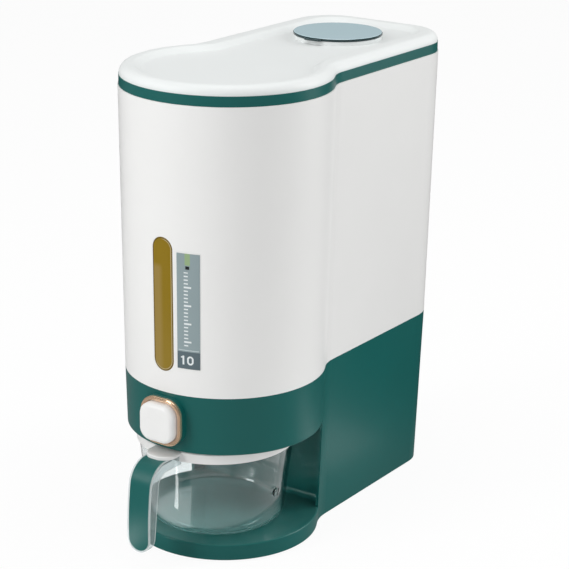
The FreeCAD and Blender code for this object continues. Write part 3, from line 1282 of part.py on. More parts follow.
def lid_shell():
    """White lid: a soft raised rim round a dished top, hollow under the rim, with a round well."""
    body = new_body("lid_shell")
    block = Drawing(body, "block", "XY_Plane", d.band_top).keyhole(lid_outer)
    pad(body, block, d.lid_top - d.band_top)
    soften(body, d.lid_round, lambda e: level(e, d.lid_top))
    edge = lid_outer - d.recess_inset
    keyhole_block(body, "dish", d.recess_floor, d.lid_top, edge - d.recess_slope, edge, cut=True,
                  half=d.half_width - d.recess_stem)
    soften(body, d.recess_round, lambda e: level(e, d.lid_top))
    soften(body, d.recess_round, lambda e: level(e, d.recess_floor))
    under = Drawing(body, "under", "XY_Plane", d.band_top).keyhole(band_outer - d.band_width + d.weld)
    pocket(body, under, d.recess_floor - d.lid_skin - d.band_top, flip=True)
    well = Drawing(body, "well", "XY_Plane", d.band_top).circle(0, d.well_centre, d.tray_radius + d.fit_gap)
    pocket(body, well, d.lid_top - d.band_top, flip=True)
    return keep(body, "lid_shell")


def desiccant_tray():
    """Round box hung in the lid's well, with a slotted floor."""
    body = new_body("desiccant_tray")
    flange = d.cover_radius - d.flange_inset
    floor = d.tray_bottom + d.tray_wall
    profile = Drawing(body, "profile", "YZ_Plane").polygon([
        (0, d.tray_bottom), (d.tray_radius, d.tray_bottom), (d.tray_radius, d.recess_floor),
        (flange, d.recess_floor), (flange, d.tray_top), (d.tray_inner, d.tray_top), (d.tray_inner, floor), (0, floor)])
    turn(body, profile)
    slots = Drawing(body, "slots", "XY_Plane", d.tray_bottom)
    field = d.tray_inner - d.tray_slot_inset
    pitch = 2 * field / TRAY_SLOTS
    for number in range(TRAY_SLOTS):
        across = pitch * (number - (TRAY_SLOTS - 1) / 2)
        left, right = across - d.tray_slot_width / 2, across + d.tray_slot_width / 2
        reach = (field * field - across * across).root()
        slots.polygon([(left, -reach), (right, -reach), (right, reach), (left, reach)])
    pocket(body, slots, d.tray_wall, flip=True)
    return keep(body, "desiccant_tray", d.well_centre)


def desiccant_pad():
    """Drying pad in the box."""
    body = new_body("desiccant_pad")
    disc = Drawing(body, "disc", "XY_Plane", d.tray_bottom + d.tray_wall).circle(0, 0, d.pad_radius)
    pad(body, disc, d.pad_height)
    return keep(body, "desiccant_pad", d.well_centre)


def desiccant_cover():
    """Clear disc over the box, with a plug ring and a finger tab at its front."""
    body = new_body("desiccant_cover")
    plug = d.seal_radius - d.seal_width - d.gasket_play / 2
    inner = plug - d.plug_ring
    lip = plug + d.plug_lip_reach
    seal_end = d.cover_low - d.seal_height - d.cover_gap
    lip_end = seal_end - d.plug_lip
    profile = Drawing(body, "profile", "YZ_Plane").polygon([
        (0, d.cover_low), (inner, d.cover_low), (inner, lip_end), (lip, lip_end), (lip, seal_end),
        (plug, seal_end), (plug, d.cover_low), (d.cover_radius, d.cover_low),
        (d.cover_radius, d.cover_top), (0, d.cover_top)])
    turn(body, profile)
    tab = Drawing(body, "tab", "XY_Plane", d.cover_low).rounded(
        -d.tab_half_width, -d.cover_radius - d.tab_reach, d.tab_half_width, d.tab_half_width - d.cover_radius,
        d.tab_reach)
    pad(body, tab, d.tab_thickness)
    soften(body, d.cover_edge, lambda e: level(e, d.cover_top) and e.Length > d.cover_radius.value, bevel=True)
    return keep(body, "desiccant_cover", d.well_centre)


def cover_seal():
    """Soft ring on the cover's plug."""
    body = new_body("cover_seal")
    ring = Drawing(body, "ring", "XY_Plane", d.cover_low - d.seal_height - d.running_gap)
    ring.circle(0, 0, d.seal_radius)
    ring.circle(0, 0, d.seal_radius - d.seal_width)
    pad(body, ring, d.seal_height)
    return keep(body, "cover_seal", d.well_centre)


# ---------------------------------------------------------------- build, check and write

base_housing()
bottom_cover()
rubber_feet()
screws("base_screws", base_screw_places, d.head_low, d.base_screw_length, upward=True)
bin_shell()
window_lens()
scale_label()
hopper_funnel()
outlet_frame()
screws("frame_screws", frame_screw_places, d.ear_over, d.frame_screw_length, upward=False)
button_bezel()
button_cap()
push_link()
shutter_plate()
return_springs()
cup_bowl()
cup_rim_ring()
handle_frame()
handle_cover()
lid_shell()
lid_band()
lid_gasket()
desiccant_tray()
desiccant_pad()
desiccant_cover()
cover_seal()

doc.recompute()
for item in doc.Objects:
    if any(word in item.State for word in ("Invalid", "Error")):
        raise RuntimeError(f"{item.Label}: {item.State}")
for item in subparts:
    if item.Shape.isNull() or not item.Shape.isValid() or not item.Shape.Solids:
        raise RuntimeError(f"{item.Label} has no sound solid")

os.makedirs("parts", exist_ok=True)
for item in subparts:
    item.Shape.exportStep(os.path.join("parts", f"{item.Label}.step"))
    box = item.Shape.BoundBox
    print(f"{item.Label:18s} solids {len(item.Shape.Solids):2d}  volume {item.Shape.Volume / 1000:8.2f} cm3  "
          f"x {box.XMin:7.1f} {box.XMax:7.1f}  y {box.YMin:7.1f} {box.YMax:7.1f}  z {box.ZMin:6.1f} {box.ZMax:6.1f}")
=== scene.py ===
# %% [markdown]
# # A kitchen rice dispenser, dressed for a picture
# The dispenser is a tall white bin on a green base. A button lets a cupful of rice
# fall into a clear cup that slides out like a drawer. Its solids come from a CAD
# model, which is loaded here and never changed. Blender adds what CAD can't say:
# finishes, rubbed edges, a soft bag, wound springs and the small printed marks.

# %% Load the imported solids
import math

import bmesh
import bpy
from mathutils import Matrix, Vector


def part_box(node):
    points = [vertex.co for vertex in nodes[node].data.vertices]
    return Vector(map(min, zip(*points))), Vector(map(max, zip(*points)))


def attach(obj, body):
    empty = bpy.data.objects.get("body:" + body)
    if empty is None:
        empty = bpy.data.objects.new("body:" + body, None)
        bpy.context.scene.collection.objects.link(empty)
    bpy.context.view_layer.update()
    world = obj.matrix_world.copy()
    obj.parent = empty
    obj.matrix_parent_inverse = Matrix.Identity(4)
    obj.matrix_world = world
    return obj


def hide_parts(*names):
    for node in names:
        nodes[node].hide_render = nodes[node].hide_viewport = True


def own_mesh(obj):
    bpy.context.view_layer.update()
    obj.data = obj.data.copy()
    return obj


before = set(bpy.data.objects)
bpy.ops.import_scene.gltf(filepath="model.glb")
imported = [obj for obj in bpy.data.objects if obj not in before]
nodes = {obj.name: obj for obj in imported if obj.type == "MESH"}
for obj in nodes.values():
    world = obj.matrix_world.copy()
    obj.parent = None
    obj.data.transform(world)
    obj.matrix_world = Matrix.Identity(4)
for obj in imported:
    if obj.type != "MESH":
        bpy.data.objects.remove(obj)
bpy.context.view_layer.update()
scene = bpy.context.scene

# %% [markdown]
# ## Units
# The drawings of the product are in millimetres and Blender works in metres, so
# every size of the dispenser is typed in millimetres and goes through one small
# helper. The studio round it is typed in metres.


# %% Millimetres
def mm(*values):
    """Millimetres to metres: one number, or a vector of three."""
    return values[0] / 1000 if len(values) == 1 else Vector(values) / 1000


bin_low, bin_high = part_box("bin_shell")
bin_middle = (bin_low + bin_high) / 2
print("bin", [round(side * 1000, 1) for side in bin_high - bin_low], "mm")

# %% [markdown]
# ## Camera
# A product like this is shown from the front corner and a little above, with a long
# lens, so that its upright edges stay almost parallel. The camera is placed by two
# angles and a distance round a point inside the bin, which is easier to adjust than
# a typed position. The small roll levels the picture.

# %% Camera round the bin
VIEW_AZIMUTH = math.radians(34.19)
VIEW_ELEVATION = math.radians(18.31)
VIEW_ROLL = math.radians(0.88)
VIEW_DISTANCE = 1.7602
LOOK_AT = mm(0, 25.6, 200.8)
SENSOR_MM = 36
LENS_MM = 122.53


def direction(azimuth, elevation):
    """Away from the bin, in radians. Azimuth 0 is in front, a quarter turn is right."""
    level_part = math.cos(elevation)
    return Vector(
        (
            math.sin(azimuth) * level_part,
            -math.cos(azimuth) * level_part,
            math.sin(elevation),
        )
    )


backward = direction(VIEW_AZIMUTH, VIEW_ELEVATION)
level = (-backward).cross(Vector((0, 0, 1))).normalized()
upright = level.cross(-backward)
right = math.cos(VIEW_ROLL) * level + math.sin(VIEW_ROLL) * upright
up = math.cos(VIEW_ROLL) * upright - math.sin(VIEW_ROLL) * level

camera = bpy.data.objects.new("camera", bpy.data.cameras.new("camera"))
scene.collection.objects.link(camera)
camera.data.sensor_width = SENSOR_MM
camera.data.lens = LENS_MM
camera.data.clip_end = 20
turn = Matrix((right, up, backward)).transposed().to_4x4()
camera.matrix_world = Matrix.Translation(LOOK_AT + backward * VIEW_DISTANCE) @ turn
scene.camera = camera
print("camera at", [round(value, 3) for value in camera.matrix_world.translation])

# %% [markdown]
# ## Studio
# The object stands on a plain white floor between two tall soft boxes, one in front
# on the left and one behind on the right, with a weak light above. The round front
# then falls off between the two, which shows its shape. The camera sees the floor
# and the sky as plain white. Mirror rays see both as dim, as in a darkened studio, so
# that gloss shows the soft boxes and keeps its own colour elsewhere. The Light Path
# node tells these rays apart.


# %% Nodes in a few words
def feed(tree, source, socket):
    """Gives an input what it needs: a link, a colour or a number."""
    if isinstance(source, bpy.types.NodeSocket):
        tree.links.new(source, socket)
    elif isinstance(source, tuple):
        socket.default_value = (*source, 1)
    else:
        socket.default_value = source


def feed_by_name(tree, node, inputs):
    """Feeds some inputs of a node. An underscore in a name stands for a space."""
    for name, source in inputs.items():
        feed(tree, source, node.inputs[name.replace("_", " ")])


def feed_in_order(tree, node, *sources):
    """Feeds the first inputs of a node."""
    for source, socket in zip(sources, node.inputs):
        feed(tree, source, socket)


def add_node(tree, kind, place, **inputs):
    """A node of that kind at a place in the editor, with some of its inputs fed."""
    node = tree.nodes.new(kind)
    node.location = place
    feed_by_name(tree, node, inputs)
    return node


def math_node(tree, operation, place, *sources):
    """The output of a Math node."""
    node = add_node(tree, "ShaderNodeMath", place)
    node.operation = operation
    feed_in_order(tree, node, *sources)
    return node.outputs[0]


def mix_shaders(tree, place, share, first, second):
    """The first shader, with a share of the second in its place."""
    node = add_node(tree, "ShaderNodeMixShader", place)
    feed_in_order(tree, node, share, first, second)
    return node.outputs[0]


def by_ray(tree, plain, mirrored, seen, out):
    """What matt surfaces get, what mirrors show and what is seen directly."""
    path = add_node(tree, "ShaderNodeLightPath", (-900, 0))
    camera_ray = path.outputs["Is Camera Ray"]
    through_glass = path.outputs["Is Transmission Ray"]
    straight = math_node(tree, "MAXIMUM", (-600, 200), camera_ray, through_glass)
    unseen = mix_shaders(tree, (-300, 0), path.outputs["Is Glossy Ray"], plain, mirrored)
    feed(tree, mix_shaders(tree, (0, 0), straight, unseen, seen), out.inputs["Surface"])


print("helpers for nodes")

# %% [markdown]
# ### Sky
# The world is a plain dome that fills the shadows. One Background node would light
# everything alike. Three of them, picked by the kind of ray, light matt surfaces at
# half strength, show mirrors a dim dome and are white where the sky is seen.

# %% Sky
SKY_LIGHT = 0.52
SKY_IN_MIRRORS = 0.16
SKY_SEEN = 1.0
WHITE = (1.0, 1.0, 1.0)

world = bpy.data.worlds.new("pale_sky")
scene.world = world
world.use_nodes = True
sky = world.node_tree
sky.nodes.clear()
skies = []
for strength in (SKY_LIGHT, SKY_IN_MIRRORS, SKY_SEEN):
    dome = add_node(
        sky, "ShaderNodeBackground", (-600, 0), Color=WHITE, Strength=strength
    )
    skies.append(dome.outputs[0])
by_ray(sky, *skies, add_node(sky, "ShaderNodeOutputWorld", (200, 0)))
print("sky light", SKY_LIGHT)

# %% [markdown]
# ### Floor
# The floor is one large sheet. A backdrop that curves up behind the object is the
# usual way, but under a white sky a flat sheet gives the same picture with less to
# set.

# %% The sheet
FLOOR_HALF = 4.0

half = FLOOR_HALF
corners = [(-half, -half, 0), (half, -half, 0), (half, half, 0), (-half, half, 0)]
floor_mesh = bpy.data.meshes.new("studio_floor")
floor_mesh.from_pydata(corners, [], [(0, 1, 2, 3)])
floor = bpy.data.objects.new("studio_floor", floor_mesh)
scene.collection.objects.link(floor)
print("floor", FLOOR_HALF * 2, "m wide")

# %% [markdown]
# ### The floor's white
# As it is seen, the floor is nearly all glow, with a little matt white left in it that
# shows the object's shadow. The matt floor that lights the object from below is white
# in front and grey behind, so the green side panel gets darker towards its back.


# %% Matt white and a glow
def bare_material(name):
    """A material with nothing but an output."""
    material = bpy.data.materials.new(name)
    material.use_nodes = True
    tree = material.node_tree
    tree.nodes.clear()
    return material, tree, add_node(tree, "ShaderNodeOutputMaterial", (500, 0))


def ramp(tree, place, value, start, end, low=0.0, high=1.0):
    """Changes smoothly from low at start to high at end. Start may be the larger."""
    node = add_node(
        tree,
        "ShaderNodeMapRange",
        place,
        Value=value,
        From_Min=start,
        From_Max=end,
        To_Min=low,
        To_Max=high,
    )
    node.interpolation_type = "SMOOTHSTEP"
    return node.outputs[0]


FLOOR_WHITE = 0.86
FLOOR_WHITE_BEHIND = 0.12
WHITE_FADES = (-0.05, 0.22)
FLOOR_GLOW = 0.93

floor_paint, tree, floor_out = bare_material("studio_floor")
geometry = add_node(tree, "ShaderNodeNewGeometry", (-1900, 0))
point = geometry.outputs["Position"]
axes = add_node(tree, "ShaderNodeSeparateXYZ", (-1700, 0), Vector=point)
floor_x = axes.outputs["X"]
floor_y = axes.outputs["Y"]
grey = ramp(tree, (-1500, 300), floor_y, *WHITE_FADES, FLOOR_WHITE, FLOOR_WHITE_BEHIND)
matt_below = add_node(tree, "ShaderNodeBsdfDiffuse", (-900, 300), Color=grey)
matt_seen = add_node(
    tree, "ShaderNodeBsdfDiffuse", (-900, -600), Color=(FLOOR_WHITE,) * 3
)
glow = add_node(tree, "ShaderNodeEmission", (-900, -400), Strength=1.0)
seen_floor = mix_shaders(
    tree, (-600, -300), FLOOR_GLOW, matt_seen.outputs[0], glow.outputs[0]
)
print("floor white", FLOOR_WHITE, "in front and", FLOOR_WHITE_BEHIND, "behind")

# %% [markdown]
# ### The floor in mirrors
# Glossy and clear surfaces show lamps, and a lamp on the floor would also light the
# matt ones. So two bright patches are painted on the floor for mirror rays alone: a
# narrow slanting strip in front, for the cup's wall and the handle's foot, and a card
# on the right, for the green side panel. A Compare node is 1 within a distance of a
# middle, so two of them make a box.


# %% A dim floor with a strip and a card
def patch(tree, place, first, first_span, second, second_span):
    """1 inside a box. A span is the middle of a side and half its length."""
    wide = math_node(tree, "COMPARE", place, first, *first_span)
    tall = math_node(tree, "COMPARE", place, second, *second_span)
    return math_node(tree, "MULTIPLY", (place[0] + 200, place[1]), wide, tall)


FLOOR_IN_MIRRORS = 0.29
FLOOR_IN_MIRRORS_BEHIND = 0.04
MIRRORED_FADES = (0.08, 0.36)
STRIP_LIGHT = 7.5
STRIP_SLANT = 0.33
STRIP_ASIDE = (0.030, 0.006)
STRIP_Y = (-0.232, 0.045)
CARD_LIGHT = 0.8
CARD_X = (0.22, 0.10)
CARD_Y = (0.125, 0.05)

dimmed = ramp(
    tree,
    (-1500, -200),
    floor_y,
    *MIRRORED_FADES,
    FLOOR_IN_MIRRORS,
    FLOOR_IN_MIRRORS_BEHIND,
)
slant = math_node(tree, "MULTIPLY", (-1700, -600), floor_y, STRIP_SLANT)
aside = math_node(tree, "SUBTRACT", (-1500, -500), floor_x, slant)
strip = patch(tree, (-1300, -700), aside, STRIP_ASIDE, floor_y, STRIP_Y)
card = patch(tree, (-1500, -900), floor_x, CARD_X, floor_y, CARD_Y)
with_card = math_node(tree, "MULTIPLY_ADD", (-1300, -400), card, CARD_LIGHT, dimmed)
shown = math_node(tree, "MULTIPLY_ADD", (-1100, -400), strip, STRIP_LIGHT, with_card)
mirrored_floor = add_node(tree, "ShaderNodeEmission", (-900, -200), Strength=shown)
by_ray(
    tree, matt_below.outputs[0], mirrored_floor.outputs[0], seen_floor, floor_out
)
floor_mesh.materials.append(floor_paint)
print("floor in mirrors", FLOOR_IN_MIRRORS, "in front, strip", STRIP_LIGHT)

# %% [markdown]
# ### Soft boxes
# Area lamps are the soft boxes: the larger the lamp, the softer its shadow and the
# broader its shine. Each is placed on a sphere round the bin by two angles and turned
# to face it, so that it can be moved without aiming it again.


# %% Three soft lamps
def soft_box(name, azimuth, elevation, distance, width, height, watts):
    """A lamp on a sphere round the bin, by two angles in degrees."""
    data = bpy.data.lights.new(name, "AREA")
    data.shape = "RECTANGLE"
    data.size = width
    data.size_y = height
    data.energy = watts
    lamp = bpy.data.objects.new(name, data)
    scene.collection.objects.link(lamp)
    away = direction(math.radians(azimuth), math.radians(elevation))
    lamp.location = bin_middle + away * distance
    lamp.visible_camera = False
    lamp.rotation_mode = "QUATERNION"
    lamp.rotation_quaternion = (-away).to_track_quat("-Z", "Y")


LAMPS = {
    # name: azimuth, elevation, distance, width, height, watts
    "front_box": (-24, 26, 2.4, 0.75, 1.7, 23),
    "rear_box": (132, 17, 2.4, 0.9, 1.9, 34),
    "top_light": (10, 80, 2.0, 1.4, 1.4, 14),
}
for name, settings in LAMPS.items():
    soft_box(name, *settings)
print(len(LAMPS), "soft lamps")

# %% [markdown]
# ## Surface effects as node groups
# Moulded plastic is never one flat colour. It has a faint cloudiness from the
# pigment, a skin that is not quite even in gloss, edges that are polished by hands
# and a little dust on what faces up. Each effect is built once as a shader node
# group with named sockets and is then placed in the materials with other numbers.


# %% Helpers that start and place a group
def new_group(name, inputs, outputs):
    """An empty shader group with those sockets, and its two end nodes."""
    group = bpy.data.node_groups.new(name, "ShaderNodeTree")
    for label, kind, value in inputs:
        socket = group.interface.new_socket(label, in_out="INPUT", socket_type=kind)
        socket.default_value = value
    for label, kind in outputs:
        group.interface.new_socket(label, in_out="OUTPUT", socket_type=kind)
    start = group.nodes.new("NodeGroupInput")
    start.location = (-1000, 0)
    end = group.nodes.new("NodeGroupOutput")
    end.location = (600, 0)
    return group, start.outputs, end


def place_group(tree, group, place, **inputs):
    """A group in a material's tree, with some of its inputs fed. Gives its outputs."""
    node = tree.nodes.new("ShaderNodeGroup")
    node.node_tree = group
    node.location = place
    feed_by_name(tree, node, inputs)
    return node.outputs


def object_point(tree, place):
    """The point being shaded, in metres in the frame of the CAD model."""
    return add_node(tree, "ShaderNodeTexCoord", place).outputs["Object"]


def mix_colours(tree, place, share, first, second):
    """The first colour with a share of the second laid over it."""
    node = add_node(tree, "ShaderNodeMix", place)
    node.data_type = "RGBA"
    # A Mix node holds the inputs of all its types: 6 and 7 are the two colours.
    for number, source in ((0, share), (6, first), (7, second)):
        feed(tree, source, node.inputs[number])
    return node.outputs[2]


NUMBER = "NodeSocketFloat"
COLOUR = "NodeSocketColor"
MID_GREY = (0.5, 0.5, 0.5, 1)
NOISE_MIDDLE = 0.5
print("helpers for groups")

# %% [markdown]
# ### Pigment clouding
# Pigment never mixes quite evenly in the melt. Large soft noise darkens and lightens
# the base colour by a few percent, which is seen more as depth than as a pattern. It
# is a noise and not a picture, so it has no seams and no size limit.

# %% Group: pigment clouding
clouding, start, end = new_group(
    "pigment clouding",
    [("Colour", COLOUR, MID_GREY), ("Amount", NUMBER, 0.04), ("Scale", NUMBER, 18.0)],
    [("Colour", COLOUR)],
)
cloud = add_node(
    clouding,
    "ShaderNodeTexNoise",
    (-700, -200),
    Vector=object_point(clouding, (-1000, -300)),
    Scale=start["Scale"],
    Detail=4.0,
)
swing = math_node(
    clouding, "SUBTRACT", (-450, -200), cloud.outputs["Fac"], NOISE_MIDDLE
)
gain = math_node(clouding, "MULTIPLY_ADD", (-250, -200), swing, start["Amount"], 1.0)
tint = add_node(clouding, "ShaderNodeVectorMath", (0, 0))
tint.operation = "SCALE"
feed(clouding, start["Colour"], tint.inputs[0])
feed(clouding, gain, tint.inputs["Scale"])
feed(clouding, tint.outputs[0], end.inputs["Colour"])
print("group", clouding.name)

# %% [markdown]
# ### Moulded skin
# A steel mould leaves its fine spark texture or its polish on the part. Two noises,
# one fine and one wide, give a height for a Bump node and a roughness that wanders
# round a set value. Modelled, the grain would take millions of faces.

# %% Group: moulded skin
SMEAR_SCALE = 9.0

skin, start, end = new_group(
    "moulded skin",
    [
        ("Grain scale", NUMBER, 900.0),
        ("Roughness", NUMBER, 0.35),
        ("Roughness swing", NUMBER, 0.08),
    ],
    [("Height", NUMBER), ("Roughness", NUMBER)],
)
place = object_point(skin, (-1000, -300))
grain = add_node(
    skin,
    "ShaderNodeTexNoise",
    (-700, 200),
    Vector=place,
    Scale=start["Grain scale"],
    Detail=2.0,
)
smear = add_node(
    skin,
    "ShaderNodeTexNoise",
    (-700, -200),
    Vector=place,
    Scale=SMEAR_SCALE,
    Detail=5.0,
)
centred = math_node(
    skin, "SUBTRACT", (-450, -200), smear.outputs["Fac"], NOISE_MIDDLE
)
wander = math_node(
    skin,
    "MULTIPLY_ADD",
    (-200, -200),
    centred,
    start["Roughness swing"],
    start["Roughness"],
)
feed(skin, grain.outputs["Fac"], end.inputs["Height"])
feed(skin, wander, end.inputs["Roughness"])
print("group", skin.name)

# %% [markdown]
# ### Edge wear and painted edge highlights
# Hands polish the outer corners first. The same group also lays a painted highlight
# along the edges of the round cover and of the ring round the button. The Bevel node
# rounds the normal near an edge, so where it differs from the true normal there is an
# edge. The difference is a mask that brightens the colour there: a little for wear,
# and more for a highlight. The mask has a function of its own, because the handle's
# clear frame needs it without the colour.


# %% Group: edge wear and painted edge highlights
ALIKE_ON_A_FLAT = 0.998
ALIKE_AT_AN_EDGE = 0.90


def edge_mask(tree, width):
    """1 at an edge, 0 on a flat. The width is in metres."""
    rounded = add_node(tree, "ShaderNodeBevel", (-1000, -300), Radius=width)
    rounded.samples = 4
    geometry = add_node(tree, "ShaderNodeNewGeometry", (-1000, -500))
    likeness = add_node(tree, "ShaderNodeVectorMath", (-750, -300))
    likeness.operation = "DOT_PRODUCT"
    feed_in_order(tree, likeness, rounded.outputs[0], geometry.outputs["Normal"])
    mask = add_node(
        tree,
        "ShaderNodeMapRange",
        (-500, -300),
        Value=likeness.outputs["Value"],
        From_Min=ALIKE_ON_A_FLAT,
        From_Max=ALIKE_AT_AN_EDGE,
    )
    return mask.outputs[0]


edge_wear_and_highlight, start, end = new_group(
    "edge wear and highlight",
    [
        ("Colour", COLOUR, MID_GREY),
        ("Edge colour", COLOUR, (0.8, 0.8, 0.8, 1)),
        ("Amount", NUMBER, 0.3),
        ("Width", NUMBER, 0.0007),
    ],
    [("Colour", COLOUR)],
)
edge = edge_mask(edge_wear_and_highlight, start["Width"])
share = math_node(edge_wear_and_highlight, "MULTIPLY", (-250, -300), edge, start["Amount"])
blend = mix_colours(edge_wear_and_highlight, (0, 0), share, start["Colour"], start["Edge colour"])
feed(edge_wear_and_highlight, blend, end.inputs["Colour"])
print("group", edge_wear_and_highlight.name)

# %% [markdown]
# ### Settled dust
# In a kitchen, flour and rice dust settle on what faces up. The mask takes the
# upward part of the normal and breaks it up with noise, and the colour and the
# roughness follow it.

# %% Group: settled dust
DUST_COLOUR = (0.72, 0.70, 0.66)
DUST_ROUGHENS = 0.6
LEAST_UPWARD = 0.6
SPECK_SCALE = 60.0

dust, start, end = new_group(
    "settled dust",
    [
        ("Colour", COLOUR, MID_GREY),
        ("Roughness", NUMBER, 0.3),
        ("Amount", NUMBER, 0.05),
    ],
    [("Colour", COLOUR), ("Roughness", NUMBER)],
)
geometry = add_node(dust, "ShaderNodeNewGeometry", (-1000, -400))
normal = geometry.outputs["Normal"]
parts = add_node(dust, "ShaderNodeSeparateXYZ", (-800, -400), Vector=normal)
upward = add_node(
    dust,
    "ShaderNodeMapRange",
    (-600, -400),
    Value=parts.outputs["Z"],
    From_Min=LEAST_UPWARD,
)
specks = add_node(
    dust,
    "ShaderNodeTexNoise",
    (-800, -600),
    Vector=object_point(dust, (-1000, -600)),
    Scale=SPECK_SCALE,
    Detail=8.0,
)
patchy = math_node(
    dust, "MULTIPLY", (-400, -400), upward.outputs[0], specks.outputs["Fac"]
)
cover = math_node(dust, "MULTIPLY", (-200, -400), patchy, start["Amount"])
powdered = mix_colours(dust, (0, 0), cover, start["Colour"], DUST_COLOUR)
rougher = math_node(
    dust, "MULTIPLY_ADD", (0, -300), cover, DUST_ROUGHENS, start["Roughness"]
)
feed(dust, powdered, end.inputs["Colour"])
feed(dust, rougher, end.inputs["Roughness"])
print("group", dust.name)

# %% [markdown]
# ## Starting a finish
# Every finish of the dispenser but one is a Principled BSDF with something feeding it.
# The solids come in with plain materials. A finish replaces them whole, so that no
# face keeps the import's colour.


# %% Helpers that start, bump and lay on a finish
def plain_finish(name):
    """A material with a Principled BSDF on its output."""
    material, tree, out = bare_material(name)
    surface = add_node(tree, "ShaderNodeBsdfPrincipled", (200, 0))
    feed(tree, surface.outputs[0], out.inputs["Surface"])
    return material, tree, surface


def grain_bump(tree, surface, height, depth):
    """Bumps the surface by a height. The depth is in millimetres."""
    bump = add_node(
        tree, "ShaderNodeBump", (-300, -400), Height=height, Distance=mm(depth)
    )
    feed(tree, bump.outputs[0], surface.inputs["Normal"])


def paint(material, *names):
    """Gives a finish to CAD solids, in place of what the import made."""
    for name in names:
        data = nodes[name].data
        data.materials.clear()
        data.materials.append(material)
        for polygon in data.polygons:
            polygon.material_index = 0
    print(material.name, "on", ", ".join(names))


print("helpers for finishes")

# %% [markdown]
# ## Moulded plastics
# Most of the dispenser is ABS, moulded in a polished or a lightly sparked tool. All
# of these finishes share one chain: clouded pigment, rubbed edges, dust, and a skin
# that sets gloss and bump. What differs is the numbers, so one function builds them.

# %% The moulded plastic finish
PLASTIC_IOR = 1.43
PLASTIC_CLOUD_SCALE = 14.0
PLASTIC_GLOSS_SWING = 0.10


def moulded(
    name, colour, edge_colour, roughness, clouds, grain_depth, rub=0.2, dusty=0.05
):
    """Moulded plastic: colours are linear RGB, grain_depth is in millimetres."""
    material, tree, surface = plain_finish(name)
    pigment = place_group(
        tree,
        clouding,
        (-900, 0),
        Colour=colour,
        Amount=clouds,
        Scale=PLASTIC_CLOUD_SCALE,
    )
    edge_toned = place_group(
        tree,
        edge_wear_and_highlight,
        (-600, 0),
        Colour=pigment["Colour"],
        Edge_colour=edge_colour,
        Amount=rub,
    )
    moulding = place_group(
        tree,
        skin,
        (-600, -300),
        Roughness=roughness,
        Roughness_swing=PLASTIC_GLOSS_SWING,
    )
    dusted = place_group(
        tree,
        dust,
        (-300, 0),
        Colour=edge_toned["Colour"],
        Roughness=moulding["Roughness"],
        Amount=dusty,
    )
    feed(tree, dusted["Colour"], surface.inputs["Base Color"])
    feed(tree, dusted["Roughness"], surface.inputs["Roughness"])
    grain_bump(tree, surface, moulding["Height"], grain_depth)
    surface.inputs["IOR"].default_value = PLASTIC_IOR
    return material


print("moulded plastic with IOR", PLASTIC_IOR)

# %% [markdown]
# ### Deep green
# The base, the lid's band and the handle are one batch of dyed ABS with a fine spark
# texture. It is paler at the corners. Green this deep shows its shape mostly
# by gloss, so the skin's bump matters more here than the colour.

# %% Deep green, for the base, the lid's band and the handle
deep_green = moulded(
    "deep_green_plastic",
    colour=(0.0025, 0.108, 0.098),
    edge_colour=(0.04, 0.23, 0.20),
    roughness=0.36,
    clouds=0.10,
    grain_depth=0.015,
    rub=0.35,
)
paint(deep_green, "base_housing", "bottom_cover", "lid_band", "handle_cover")

# %% [markdown]
# ### Glossy white
# The bin, the button and the cup's ring are a neutral white from a polished tool, so
# they show the soft boxes as broad streaks. Pure white has no room left for light and
# shade, so the colour stays at 0.82, and the clouds are faint or they would look like
# dirt.

# %% Glossy white, for the bin, the button and the cup's ring
gloss_white = moulded(
    "gloss_white_plastic",
    colour=(0.82, 0.82, 0.81),
    edge_colour=(0.88, 0.88, 0.87),
    roughness=0.34,
    clouds=0.03,
    grain_depth=0.004,
    rub=0.25,
    dusty=0.03,
)
paint(gloss_white, "bin_shell", "button_cap", "cup_rim_ring")

# %% [markdown]
# ### Silky white
# The lid is a moulding of its own, a little cooler and duller than the bin. With the
# bin's gloss its dish would glare under the light above. Its white is also set a
# little darker than the bin's, as painted shade, so that its top, which faces the
# light above, doesn't come out brighter.

# %% Silky white, for the lid
lid_white = moulded(
    "silk_white_plastic",
    # Darker than the bin's white: painted shade for the top that faces the light above.
    colour=(0.775, 0.80, 0.795),
    edge_colour=(0.84, 0.85, 0.85),
    roughness=0.44,
    clouds=0.03,
    grain_depth=0.005,
    rub=0.15,
    dusty=0.03,
)
paint(lid_white, "lid_shell", "desiccant_tray")

# %% [markdown]
# ### Inner white
# The funnel, the outlet and its shutter are natural, undyed resin, which is greyer and
# a trace yellow. They are seen only with the lid off or from the cup's bay, so they
# keep the usual rub and dust.

# %% Plain white, for the pieces inside
inner_white = moulded(
    "inner_white_plastic",
    colour=(0.66, 0.665, 0.65),
    edge_colour=(0.78, 0.78, 0.77),
    roughness=0.42,
    clouds=0.05,
    grain_depth=0.01,
)
paint(inner_white, "hopper_funnel", "outlet_frame", "shutter_plate", "push_link")

# %% [markdown]
# ## Clear plastics
# The cup and the handle's frame are clear AS resin, which is a hard glassy plastic.
# A glass shader on a solid with real thickness bends light at both skins, as the real
# wall does. Fine scratches from washing up are a bump, and the gloss wanders a little.


# %% Clear resin
RESIN_IOR = 1.52
RESIN_CLOUDS = 0.03
RESIN_CLOUD_SCALE = 30.0
SCRATCH_SCALE = 220.0
RESIN_GLOSS_SWING = 0.04


